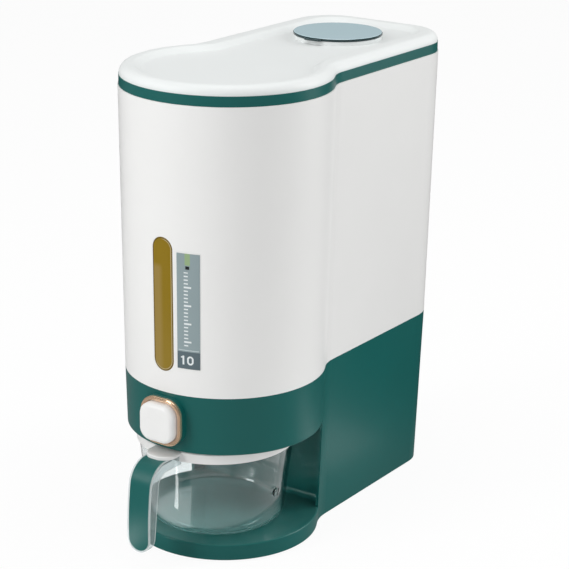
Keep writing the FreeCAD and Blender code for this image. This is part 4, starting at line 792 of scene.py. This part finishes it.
def clear_plastic(name, colour, roughness, scratch_depth, clearness=1.0):
    """See-through plastic: the colour tints the light that goes through."""
    material, tree, surface = plain_finish(name)
    tinted = place_group(
        tree,
        clouding,
        (-600, 0),
        Colour=colour,
        Amount=RESIN_CLOUDS,
        Scale=RESIN_CLOUD_SCALE,
    )
    polish = place_group(
        tree,
        skin,
        (-600, -300),
        Grain_scale=SCRATCH_SCALE,
        Roughness=roughness,
        Roughness_swing=RESIN_GLOSS_SWING,
    )
    feed(tree, tinted["Colour"], surface.inputs["Base Color"])
    feed(tree, polish["Roughness"], surface.inputs["Roughness"])
    grain_bump(tree, surface, polish["Height"], scratch_depth)
    surface.inputs["Transmission Weight"].default_value = clearness
    surface.inputs["IOR"].default_value = RESIN_IOR
    return material, tree, surface


def colour_so_far(surface):
    """What feeds the base colour now, so that more can be laid over it."""
    return surface.inputs["Base Color"].links[0].from_socket


def paint_edge_highlight(tree, surface, colour, amount, width):
    """Lays a painted highlight along the edges over the base colour. The width is in
    millimetres.
    """
    edge_toned = place_group(
        tree,
        edge_wear_and_highlight,
        (-50, 300),
        Colour=colour_so_far(surface),
        Edge_colour=colour,
        Amount=amount,
        Width=mm(width),
    )
    feed(tree, edge_toned["Colour"], surface.inputs["Base Color"])


print("helpers for clear resin")

# %% [markdown]
# ### The measuring cup
# The cup is moulded clear with a very slight green cast. Glass shaders cast a full
# shadow, which would leave the cup's bay dark, so lamps' rays pass it with a tint
# only. Near its floor a small, noise-broken share of the surface is a matt pale teal:
# painted light that brightens the cup's floor.


# %% The cup, with painted light on its floor
CUP_FLOOR_LIGHT_UP_TO = 5.0
CUP_FLOOR_LIGHT_SHARE = 0.12
CUP_FLOOR_LIGHT_COLOUR = (0.52, 0.82, 0.81)
CUP_FLOOR_LIGHT_SCALE = 320.0


def shown_by(surface):
    """The input that shows the surface now, so that a mix can go in between."""
    return surface.outputs[0].links[0].to_socket


def let_light_in(tree, surface, tint):
    """Shadow rays pass through with a tint, as a thin clear wall casts little shade."""
    showing = shown_by(surface)
    path = add_node(tree, "ShaderNodeLightPath", (200, 400))
    through = add_node(tree, "ShaderNodeBsdfTransparent", (200, -500), Color=tint)
    shadow_ray = path.outputs["Is Shadow Ray"]
    either_way = mix_shaders(
        tree, (500, 200), shadow_ray, surface.outputs[0], through.outputs[0]
    )
    feed(tree, either_way, showing)


def paint_light_on_cup_floor(tree, surface, top, share):
    """Below a height, a noise-broken matt colour takes about that share: painted light.
    """
    showing = shown_by(surface)
    point = object_point(tree, (-1200, 900))
    axes = add_node(tree, "ShaderNodeSeparateXYZ", (-1000, 900), Vector=point)
    low = math_node(tree, "LESS_THAN", (-800, 900), axes.outputs["Z"], top)
    unevenness = add_node(
        tree,
        "ShaderNodeTexNoise",
        (-1000, 700),
        Vector=point,
        Scale=CUP_FLOOR_LIGHT_SCALE,
        Detail=6.0,
    )
    uneven = math_node(
        tree, "MULTIPLY", (-600, 700), unevenness.outputs["Fac"], 2 * share
    )
    amount = math_node(tree, "MULTIPLY", (-400, 800), low, uneven)
    matt = add_node(tree, "ShaderNodeBsdfDiffuse", (200, 900), Color=CUP_FLOOR_LIGHT_COLOUR)
    cup_floor_lit = mix_shaders(
        tree, (400, 700), amount, surface.outputs[0], matt.outputs[0]
    )
    feed(tree, cup_floor_lit, showing)


cup_resin, tree, surface = clear_plastic(
    "clear_cup_resin", (0.94, 0.975, 0.975), roughness=0.03, scratch_depth=0.004
)
let_light_in(tree, surface, (0.965, 0.985, 0.985))
cup_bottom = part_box("cup_bowl")[0].z
# Painted light on the cup's floor.
paint_light_on_cup_floor(tree, surface, cup_bottom + mm(CUP_FLOOR_LIGHT_UP_TO), CUP_FLOOR_LIGHT_SHARE)
paint(cup_resin, "cup_bowl")

# %% [markdown]
# ### The handle's clear frame
# The frame is a solid strip of the same resin, but so thin that it hardly bends the
# light. A see-through shader with a tint shows what lies behind it, a mirror shader
# takes over at flat angles by Fresnel's law, and the corners carry a white matt line,
# a painted highlight, with a small share of that white over the whole strip. Only
# the outer skin mirrors: inside the strip the law would turn it into a black mirror.

# %% Thin clear strip
STRIP_TINT = (0.84, 0.88, 0.885)
STRIP_HIGHLIGHT_WHITE = (0.80, 0.85, 0.85)
CORNER_WIDTH = 1.5
CORNER_HIGHLIGHT_SHARE = 0.80
LEAST_WHITE_SHARE = 0.14
STRIP_ROUGHNESS = 0.05

strip_resin, tree, out = bare_material("clear_handle_resin")
polish = place_group(
    tree,
    skin,
    (-300, -300),
    Roughness=STRIP_ROUGHNESS,
    Roughness_swing=RESIN_GLOSS_SWING,
)
see_through = add_node(tree, "ShaderNodeBsdfTransparent", (0, 200), Color=STRIP_TINT)
mirror = add_node(
    tree, "ShaderNodeBsdfGlossy", (0, 0), Roughness=polish["Roughness"]
)
# The white matt line at the corners is a painted highlight.
highlight_white = add_node(tree, "ShaderNodeBsdfDiffuse", (0, -200), Color=STRIP_HIGHLIGHT_WHITE)
law = add_node(tree, "ShaderNodeFresnel", (-200, 500), IOR=RESIN_IOR)
facing = add_node(tree, "ShaderNodeNewGeometry", (-400, 700))
outer_skin = math_node(tree, "SUBTRACT", (-200, 700), 1.0, facing.outputs["Backfacing"])
mirror_share = math_node(tree, "MULTIPLY", (0, 500), law.outputs[0], outer_skin)
corners = edge_mask(tree, mm(CORNER_WIDTH))
corner_share = math_node(tree, "MULTIPLY", (0, 600), corners, CORNER_HIGHLIGHT_SHARE)
white_share = math_node(tree, "MAXIMUM", (200, 600), corner_share, LEAST_WHITE_SHARE)
clear_body = mix_shaders(
    tree, (300, 100), mirror_share, see_through.outputs[0], mirror.outputs[0]
)
with_highlights = mix_shaders(
    tree, (550, 0), white_share, clear_body, highlight_white.outputs[0]
)
feed(tree, with_highlights, out.inputs["Surface"])
paint(strip_resin, "handle_frame")

# %% [markdown]
# ### The round cover
# It is a tinted, half-clear disc that you lift by its tab to change the drying pad.
# Only a thin top layer is pale. Below it the rim, the tab and the plug are dark, so
# the colour changes with height: a Color Ramp would do, and a Less Than is sharper.

# %% Pale blue resin with a dark rim
PALE_LAYER = 0.4
DARK_RIM = (0.006, 0.032, 0.036)
COVER_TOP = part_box("desiccant_cover")[1].z

cover_resin, tree, surface = clear_plastic(
    "pale_blue_resin",
    (0.56, 0.74, 0.80),
    roughness=0.16,
    scratch_depth=0.006,
    clearness=0.15,
)
# A painted highlight runs along the cover's edges.
paint_edge_highlight(tree, surface, (0.78, 0.88, 0.91), amount=0.8, width=0.5)
point = object_point(tree, (-1200, 400))
axes = add_node(tree, "ShaderNodeSeparateXYZ", (-1000, 400), Vector=point)
low_part = math_node(
    tree, "LESS_THAN", (-800, 400), axes.outputs["Z"], COVER_TOP - mm(PALE_LAYER)
)
two_tone = mix_colours(tree, (-100, 300), low_part, colour_so_far(surface), DARK_RIM)
feed(tree, two_tone, surface.inputs["Base Color"])
paint(cover_resin, "desiccant_cover")

# %% [markdown]
# ## A ruler round the front
# The window and the label wrap round the front, so their marks need two lengths: how
# far round, and how high. One group works both out from the object coordinates, which
# are metres in the frame of the CAD model, about the upright axis of the round front.
# A picture wrapped on with UVs would do too, but it would blur close up.

# %% Group: round the front
AXIS_Y = -64.7
FRONT_RADIUS = 87.9
MM_PER_METRE = 1000.0

ruler, start, end = new_group(
    "round the front",
    [("Start", NUMBER, 0.0), ("Bottom", NUMBER, 0.0)],
    [("Across", NUMBER), ("Up", NUMBER)],
)
point = object_point(ruler, (-1000, -300))
axes = add_node(ruler, "ShaderNodeSeparateXYZ", (-800, -300), Vector=point).outputs
forward = math_node(ruler, "SUBTRACT", (-600, -300), mm(AXIS_Y), axes["Y"])
angle = math_node(ruler, "ARCTAN2", (-400, -200), axes["X"], forward)
arc = math_node(ruler, "MULTIPLY", (-200, -200), angle, FRONT_RADIUS)
height = math_node(ruler, "MULTIPLY", (-400, -500), axes["Z"], MM_PER_METRE)
across = math_node(ruler, "SUBTRACT", (0, -200), arc, start["Start"])
up_mm = math_node(ruler, "SUBTRACT", (0, -500), height, start["Bottom"])
feed(ruler, across, end.inputs["Across"])
feed(ruler, up_mm, end.inputs["Up"])
print("group", ruler.name)

# %% [markdown]
# ### Shapes on the ruler
# Two shapes make every mark: a box, and the stroke of an upright ring with straight
# sides. Both are 1 inside and 0 outside, and mix two colours with a sharp edge. A
# Compare node is 1 within a distance of a value, which is all that they need.


# %% Boxes and rings in millimetres
def box_mask(tree, marks, x0, x1, y0, y1):
    """1 inside a box of the ruler."""
    across, up = marks["Across"], marks["Up"]
    wide = math_node(tree, "COMPARE", (-900, 0), across, (x0 + x1) / 2, (x1 - x0) / 2)
    tall = math_node(tree, "COMPARE", (-900, 0), up, (y0 + y1) / 2, (y1 - y0) / 2)
    return math_node(tree, "MULTIPLY", (-700, 0), wide, tall)


def oval_mask(tree, marks, x, y, reach, half_stem, stroke):
    """1 on the stroke of an upright ring with straight sides."""
    aside = math_node(tree, "SUBTRACT", (-900, 0), marks["Across"], x)
    above = math_node(tree, "SUBTRACT", (-900, 0), marks["Up"], y)
    away = math_node(tree, "ABSOLUTE", (-900, 0), above)
    past_stem = math_node(tree, "SUBTRACT", (-900, 0), away, half_stem)
    beyond = math_node(tree, "MAXIMUM", (-900, 0), past_stem, 0.0)
    aside_2 = math_node(tree, "MULTIPLY", (-900, 0), aside, aside)
    far_2 = math_node(tree, "MULTIPLY_ADD", (-900, 0), beyond, beyond, aside_2)
    far = math_node(tree, "SQRT", (-900, 0), far_2)
    return math_node(tree, "COMPARE", (-700, 0), far, reach, stroke / 2)


print("box and ring masks")

# %% [markdown]
# ### The amber window
# The pane is smoked amber, so that light doesn't age the rice. The bin behind it is
# closed, so a fully clear pane would only look dark. Here less than a fifth of the
# light goes through, and the rest shows the amber itself.

# %% Smoked amber
WINDOW_BOTTOM = 171.7

amber, tree, surface = clear_plastic(
    "amber_window_resin",
    (0.30, 0.190, 0.002),
    roughness=0.16,
    scratch_depth=0.006,
    clearness=0.18,
)
marks = place_group(tree, ruler, (-1600, 400), Bottom=WINDOW_BOTTOM)
paint(amber, "window_lens")

# %% [markdown]
# ### A painted highlight on the pane
# On the lower part of the pane, on its left side, a paler amber is a painted
# highlight, where the light falls on the pane. Two soft masks do it: one for that side
# below a set height, and a fainter one that makes the pane paler towards its foot
# over the whole width.

# %% A painted highlight, and a paler foot
PANE_HIGHLIGHT_TOP = (96, 90)
PANE_HIGHLIGHT_SIDE = (1.5, -4.5)
PANE_HIGHLIGHT_SHARE = 0.75
PANE_HIGHLIGHT_COLOUR = (0.375, 0.258, 0.072)
PALER_FOOT_FADES = (80, 0)
PALER_FOOT_SHARE = 0.40
PALER_FOOT_COLOUR = (0.345, 0.238, 0.045)

below_highlight_top = ramp(tree, (-1300, 500), marks["Up"], *PANE_HIGHLIGHT_TOP)
on_highlight_side = ramp(tree, (-1300, 200), marks["Across"], *PANE_HIGHLIGHT_SIDE)
pane_highlight_place = math_node(tree, "MULTIPLY", (-1000, 400), below_highlight_top, on_highlight_side)
pane_highlight_mask = math_node(tree, "MULTIPLY", (-800, 400), pane_highlight_place, PANE_HIGHLIGHT_SHARE)
paler_foot_place = ramp(tree, (-1300, 0), marks["Up"], *PALER_FOOT_FADES)
paler_foot_mask = math_node(tree, "MULTIPLY", (-1000, 0), paler_foot_place, PALER_FOOT_SHARE)
paler_foot = mix_colours(tree, (-500, 400), paler_foot_mask, colour_so_far(surface), PALER_FOOT_COLOUR)
pane_highlighted = mix_colours(tree, (-200, 400), pane_highlight_mask, paler_foot, PANE_HIGHLIGHT_COLOUR)
feed(tree, pane_highlighted, surface.inputs["Base Color"])
print("film of painted_highlight up to", PANE_HIGHLIGHT_TOP[0], "mm")

# %% [markdown]
# ### The pane's edge
# The pane is glued into the bin, so a dark line runs all round it. Just inside that
# line a painted highlight stands for the light that the edge catches on the right and
# at the foot. Modelled, a step this small would show only as a line too, so two painted
# rings stand for it.

# %% Dark glue and a painted highlight on the edge
PANE_MIDDLE = 59.05
PANE_STEM = 48.8
GLUE_REACH = 9.35
EDGE_REACH = 8.55
RING_STROKE = 0.8
LIT_RIGHT = (-2, 4)
LIT_FOOT = (9, 4)
PANE_EDGE_HIGHLIGHT_SHARE = 0.7
PANE_EDGE_HIGHLIGHT_COLOUR = (0.60, 0.50, 0.28)
GLUE_COLOUR = (0.13, 0.085, 0.012)

glue = oval_mask(tree, marks, 0, PANE_MIDDLE, GLUE_REACH, PANE_STEM, RING_STROKE)
edge = oval_mask(tree, marks, 0, PANE_MIDDLE, EDGE_REACH, PANE_STEM, RING_STROKE)
right_side = ramp(tree, (-1300, -300), marks["Across"], *LIT_RIGHT)
foot_end = ramp(tree, (-1300, -500), marks["Up"], *LIT_FOOT)
lit = math_node(tree, "MAXIMUM", (-1000, -400), right_side, foot_end)
lit_edge = math_node(tree, "MULTIPLY", (-800, -400), edge, lit)
pane_edge_highlight_share = math_node(tree, "MULTIPLY", (-600, -400), lit_edge, PANE_EDGE_HIGHLIGHT_SHARE)
shining = mix_colours(tree, (0, 400), pane_edge_highlight_share, colour_so_far(surface), PANE_EDGE_HIGHLIGHT_COLOUR)
glued = mix_colours(tree, (200, 400), glue, shining, GLUE_COLOUR)
feed(tree, glued, surface.inputs["Base Color"])
print("glue and edge", RING_STROKE, "mm wide")

# %% [markdown]
# ## Metals
# The ring round the button is plated rose gold, and springs and screws are bare steel.
# A metal shader alone looks like chrome, so both get a cloudy colour and an uneven
# polish. The plating is thin over plastic, which a little less than full metal shows.


# %% Rose gold and steel
METAL_CLOUDS = 0.08
METAL_CLOUD_SCALE = 60.0
POLISH_SCALE = 500.0
POLISH_SWING = 0.08
POLISH_DEPTH = 0.004


def metal(name, colour, roughness, metallic=1.0):
    """Plated or bare metal with an uneven polish."""
    material, tree, surface = plain_finish(name)
    cloudy = place_group(
        tree,
        clouding,
        (-600, 0),
        Colour=colour,
        Amount=METAL_CLOUDS,
        Scale=METAL_CLOUD_SCALE,
    )
    polish = place_group(
        tree,
        skin,
        (-600, -300),
        Grain_scale=POLISH_SCALE,
        Roughness=roughness,
        Roughness_swing=POLISH_SWING,
    )
    feed(tree, cloudy["Colour"], surface.inputs["Base Color"])
    feed(tree, polish["Roughness"], surface.inputs["Roughness"])
    grain_bump(tree, surface, polish["Height"], POLISH_DEPTH)
    surface.inputs["Metallic"].default_value = metallic
    return material, tree, surface


rose_gold, tree, surface = metal(
    "rose_gold_plating", (0.97, 0.67, 0.45), 0.08, metallic=0.80
)
# Bright lines along the ring's edges are a painted highlight.
paint_edge_highlight(tree, surface, (1.0, 0.93, 0.84), amount=0.9, width=0.45)
paint(rose_gold, "button_bezel")
steel = metal("bright_steel", (0.56, 0.56, 0.55), 0.28)[0]
paint(steel, "base_screws", "frame_screws")

# %% [markdown]
# ## Rubber, silicone and fleece
# The feet are black rubber, the seals are grey silicone and the drying pad is a bag of
# needled fleece. All three are soft and matt. The plastic's chain does for them too,
# with a coarser skin and little gloss, as their real difference is in those numbers.

# %% Soft finishes
rubber = moulded(
    "foot_rubber",
    colour=(0.035, 0.036, 0.037),
    edge_colour=(0.07, 0.07, 0.07),
    roughness=0.75,
    clouds=0.15,
    grain_depth=0.03,
)
silicone = moulded(
    "seal_silicone",
    colour=(0.42, 0.43, 0.43),
    edge_colour=(0.5, 0.5, 0.5),
    roughness=0.5,
    clouds=0.06,
    grain_depth=0.02,
)
fleece = moulded(
    "pad_fleece",
    colour=(0.74, 0.73, 0.70),
    edge_colour=(0.8, 0.8, 0.78),
    roughness=0.95,
    clouds=0.12,
    grain_depth=0.35,
)
paint(rubber, "rubber_feet")
paint(silicone, "lid_gasket", "cover_seal")
print(fleece.name, "is for the drying bag")

# %% [markdown]
# ## The return springs
# Two small compression springs push the button and its plate back. A CAD spring is
# stiff, so at full press it would run through its seat. Here each one is swept along
# a helix whose end coils lie closed, as wound wire does, and the piece rides with the
# button.

# %% The helix
WIRE_RADIUS = mm(0.47)
COIL_TURNS = 5.5
CLOSED_TURNS = 0.8
STEPS_PER_TURN = 28
WIRE_SIDES = 8

spring_low, spring_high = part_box("return_springs")
coil_radius = (spring_high.z - spring_low.z) / 2 - WIRE_RADIUS
coil_z = (spring_high.z + spring_low.z) / 2
coil_x = spring_high.x - WIRE_RADIUS - coil_radius
coil_start = spring_low.y + WIRE_RADIUS
coil_length = spring_high.y - spring_low.y - 2 * WIRE_RADIUS


def coil_advance(turns):
    """How far along its axis the wire has come: flat ends and an even middle."""
    closed = 2 * WIRE_RADIUS * CLOSED_TURNS
    if turns < CLOSED_TURNS:
        return closed * turns / CLOSED_TURNS
    if turns > COIL_TURNS - CLOSED_TURNS:
        return coil_length - closed * (COIL_TURNS - turns) / CLOSED_TURNS
    share = (turns - CLOSED_TURNS) / (COIL_TURNS - 2 * CLOSED_TURNS)
    return closed + (coil_length - 2 * closed) * share


print("coils", round(coil_radius * 2000, 1), "mm wide")

# %% [markdown]
# ### Wound wire
# The wire is a small ring of corners carried along the helix and joined to the ring
# before it. A curve with a bevel would sweep it too, but a mesh keeps the ends flat
# and the count of faces known. The two springs are wound in opposite hands.


# %% Wound wire
def add_coil(mesh, centre_x, hand):
    """Sweeps a round wire along one helix. Hand is 1 or -1."""
    axis = Vector((0, 1, 0))
    rings = []
    count = round(COIL_TURNS * STEPS_PER_TURN)
    for step in range(count + 1):
        turns = COIL_TURNS * step / count
        along = hand * 2 * math.pi * turns
        outward = Vector((math.sin(along), 0, math.cos(along)))
        middle = Vector((centre_x, coil_start + coil_advance(turns), coil_z))
        ring = []
        for side in range(WIRE_SIDES):
            round_wire = 2 * math.pi * side / WIRE_SIDES
            spoke = outward * math.cos(round_wire) + axis * math.sin(round_wire)
            corner = middle + outward * coil_radius + spoke * WIRE_RADIUS
            ring.append(mesh.verts.new(corner))
        rings.append(ring)
    for first, second in zip(rings, rings[1:]):
        for side in range(WIRE_SIDES):
            after = (side + 1) % WIRE_SIDES
            mesh.faces.new((first[side], first[after], second[after], second[side]))
    mesh.faces.new(rings[0][::-1])
    mesh.faces.new(rings[-1])


spring_mesh = bmesh.new()
add_coil(spring_mesh, coil_x, 1)
add_coil(spring_mesh, -coil_x, -1)
bmesh.ops.recalc_face_normals(spring_mesh, faces=spring_mesh.faces)
spring_data = bpy.data.meshes.new("wound_springs")
spring_mesh.to_mesh(spring_data)
spring_mesh.free()
# The round wire is smooth and only its two cut ends are flat.
for polygon in spring_data.polygons:
    polygon.use_smooth = len(polygon.vertices) == 4
spring_data.materials.append(steel)
springs = bpy.data.objects.new("wound_springs", spring_data)
scene.collection.objects.link(springs)
print("springs with", len(spring_data.polygons), "faces")

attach(springs, "button")
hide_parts("return_springs")
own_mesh(springs)

# %% [markdown]
# ## The printed label
# The sticker is thin grey film, printed by silk screen in flat inks. It carries a
# column of ticks for the level of the rice, a green bar and a dark square at the top,
# and a plain 10 in a dark field at the foot. All the marks are boxes and rings in the
# ruler's millimetres, so they stay sharp at any distance.

# %% The film
WINDOW_HALF_WIDTH = 10.25
LABEL_GAP = 3.71
LABEL_START = WINDOW_HALF_WIDTH + LABEL_GAP
LABEL_BOTTOM = 177.5
LABEL_WIDTH = 20.1
TOP = 101.2

film = moulded(
    "label_film",
    colour=(0.265, 0.335, 0.35),
    edge_colour=(0.3, 0.36, 0.38),
    roughness=0.32,
    clouds=0.04,
    grain_depth=0.004,
)
tree = film.node_tree
surface = tree.nodes["Principled BSDF"]
marks = place_group(tree, ruler, (-1600, 400), Start=LABEL_START, Bottom=LABEL_BOTTOM)
paint(film, "scale_label")

# %% [markdown]
# ### Fields of ink
# The dark field at the foot, the line above it, the green bar and the dark square are
# flat areas. Each is one box and one ink, laid over what is below it.

# %% Field, line, bar and square
COLUMN = LABEL_WIDTH * 0.47
FIELDS = (
    # ink, left, right, bottom, top
    ((0.105, 0.145, 0.165), -1, 22, 0, 15.2),
    ((0.55, 0.62, 0.64), 1.2, 19.2, 16.3, 16.9),
    ((0.29, 0.41, 0.22), COLUMN - 2.3, COLUMN + 2.3, TOP - 10, TOP),
    ((0.01, 0.014, 0.016), COLUMN - 1.7, COLUMN + 1.7, TOP - 13.6, TOP - 10.8),
)

printed = colour_so_far(surface)
for ink, *sides in FIELDS:
    field = box_mask(tree, marks, *sides)
    printed = mix_colours(tree, (-300, 600), field, printed, ink)
print(len(FIELDS), "fields of ink")

# %% [markdown]
# ### Ticks
# Every fifth tick is long. Drawn as boxes they would take three nodes each. A Modulo
# node repeats the height instead, so that one Compare node makes a whole column.


# %% Short and long ticks
def either(tree, first, second):
    """1 where either mask is."""
    return math_node(tree, "MAXIMUM", (-500, 0), first, second)


def tick_rows(tree, marks, pitch, stroke, right):
    """Ticks up to a right end, half a pitch above the foot and then every pitch."""
    step = math_node(tree, "MODULO", (-900, 0), marks["Up"], pitch)
    rows = math_node(tree, "COMPARE", (-900, 0), step, pitch / 2, stroke / 2)
    column = box_mask(tree, marks, TICKS_LEFT, right, TICKS_FROM, TICKS_TO)
    return math_node(tree, "MULTIPLY", (-700, 0), rows, column)


TICKS_FROM = 20
TICKS_TO = TOP - 16
TICKS_LEFT = COLUMN - 3.2

short_ticks = tick_rows(tree, marks, pitch=3.2, stroke=1.1, right=COLUMN + 0.4)
long_ticks = tick_rows(tree, marks, pitch=16.0, stroke=1.5, right=COLUMN + 3.2)
ticks = either(tree, short_ticks, long_ticks)
print("ticks from", TICKS_FROM, "to", round(TICKS_TO, 1), "mm")

# %% [markdown]
# ### A plain 10
# The figures give a size, such as the kilograms that the bin holds. Text with a font
# would be one more thing to wrap, so the one is two boxes and the nought is a ring.

# %% Figures in white ink
WHITE_INK = (0.74, 0.78, 0.79)
# left, right, bottom, top
ONE_STEM = (4.6, 6.2, 3.6, 11.6)
ONE_FLAG = (3.2, 4.6, 9.6, 10.8)
# middle across, middle up, reach, half the straight side, stroke
NOUGHT = (11.6, 7.6, 2.1, 1.1, 1.5)

stem = box_mask(tree, marks, *ONE_STEM)
flag = box_mask(tree, marks, *ONE_FLAG)
nought = oval_mask(tree, marks, *NOUGHT)
figures = either(tree, either(tree, stem, flag), nought)
white_marks = either(tree, figures, ticks)
printed = mix_colours(tree, (100, 600), white_marks, printed, WHITE_INK)
feed(tree, printed, surface.inputs["Base Color"])
print("label", LABEL_WIDTH, "by", TOP, "mm")

# %% [markdown]
# ## The drying pad
# Under the round cover lies a fleece bag of silica gel. Soft things are built, not
# left as plain CAD discs: a grid of rings is puffed up by a formula that falls to the
# seam at the rim, and a little wander makes the filling lumpy. A cloth simulation
# would crease it better, but nobody sees the bag unless the cover is lifted.

# %% The bag's shape
PAD_RINGS = 26
PAD_SPOKES = 96
PLEATS = 24
PLEAT_DEPTH = 0.06
SEAM_STARTS = 0.93
SEAM_HALF = mm(0.35)
SWELL_LOSS = mm(0.9)
SWELL_POWER = 0.42
LUMP_HEIGHT = mm(0.5)
LUMPS_ACROSS = 310
LUMPS_ALONG = 270

pad_low, pad_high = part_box("desiccant_pad")
pad_centre = (pad_low + pad_high) / 2
pad_radius = (pad_high.x - pad_low.x) / 2 - mm(0.3)
pad_half = (pad_high.z - pad_low.z) / 2 - mm(0.2)


def puff(share):
    """Half the bag's thickness at a share of its radius: flat border, then a swell."""
    inside = max(0.0, 1 - (share / SEAM_STARTS) ** 2)
    return SEAM_HALF + (pad_half - SWELL_LOSS) * inside**SWELL_POWER


def lump(x, y, side):
    """A small wander of the surface, as grains push the cloth up."""
    across = math.sin(LUMPS_ACROSS * x + 1.3 * side)
    along = math.cos(LUMPS_ALONG * y - 0.7 * side)
    return LUMP_HEIGHT * across * along


def bag_point(share, angle, side):
    """A point of the bag's upper or lower cloth. Side is 1 or -1."""
    pleat = 1 - PLEAT_DEPTH * share**4 * (1 + math.cos(PLEATS * angle)) / 2
    x = pad_radius * share * math.cos(angle)
    y = pad_radius * share * math.sin(angle)
    z = side * (puff(share) * pleat + lump(x, y, side) * (1 - share**3))
    return pad_centre + Vector((x, y, z))


print("bag", round(pad_radius * 2000, 1), "mm wide")

# %% [markdown]
# ### Cloths and seam
# A real bag is two round cloths welded at the rim. The two are built alike, one facing
# up and one down, and a strip of faces at the rim closes them. The bag rides with the
# lid, in whose tray it lies, and is soft, so the cover may press on it.


# %% Two cloths and a seam
def add_cloth(mesh, side):
    """One cloth of the bag, facing out. Gives the corners of its rim."""
    middle = mesh.verts.new(pad_centre + Vector((0, 0, side * puff(0))))
    rings = []
    for ring in range(1, PAD_RINGS + 1):
        row = []
        for spoke in range(PAD_SPOKES):
            angle = 2 * math.pi * spoke / PAD_SPOKES
            row.append(mesh.verts.new(bag_point(ring / PAD_RINGS, angle, side)))
        rings.append(row)
    for spoke in range(PAD_SPOKES):
        after = (spoke + 1) % PAD_SPOKES
        fan = (middle, rings[0][spoke], rings[0][after])
        mesh.faces.new(fan if side > 0 else fan[::-1])
        for inner, outer in zip(rings, rings[1:]):
            quad = (inner[spoke], outer[spoke], outer[after], inner[after])
            mesh.faces.new(quad if side > 0 else quad[::-1])
    return rings[-1]


pad_mesh = bmesh.new()
upper_rim = add_cloth(pad_mesh, 1)
lower_rim = add_cloth(pad_mesh, -1)
for spoke in range(PAD_SPOKES):
    after = (spoke + 1) % PAD_SPOKES
    seam = (upper_rim[spoke], lower_rim[spoke], lower_rim[after], upper_rim[after])
    pad_mesh.faces.new(seam)
pad_data = bpy.data.meshes.new("drying_bag")
pad_mesh.to_mesh(pad_data)
pad_mesh.free()
for polygon in pad_data.polygons:
    polygon.use_smooth = True
drying_bag = bpy.data.objects.new("drying_bag", pad_data)
scene.collection.objects.link(drying_bag)
pad_data.materials.append(fleece)
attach(drying_bag, "lid")
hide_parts("desiccant_pad")
print("drying bag with", len(pad_data.polygons), "faces")

# %% Colour view
scene.view_settings.view_transform = "Standard"
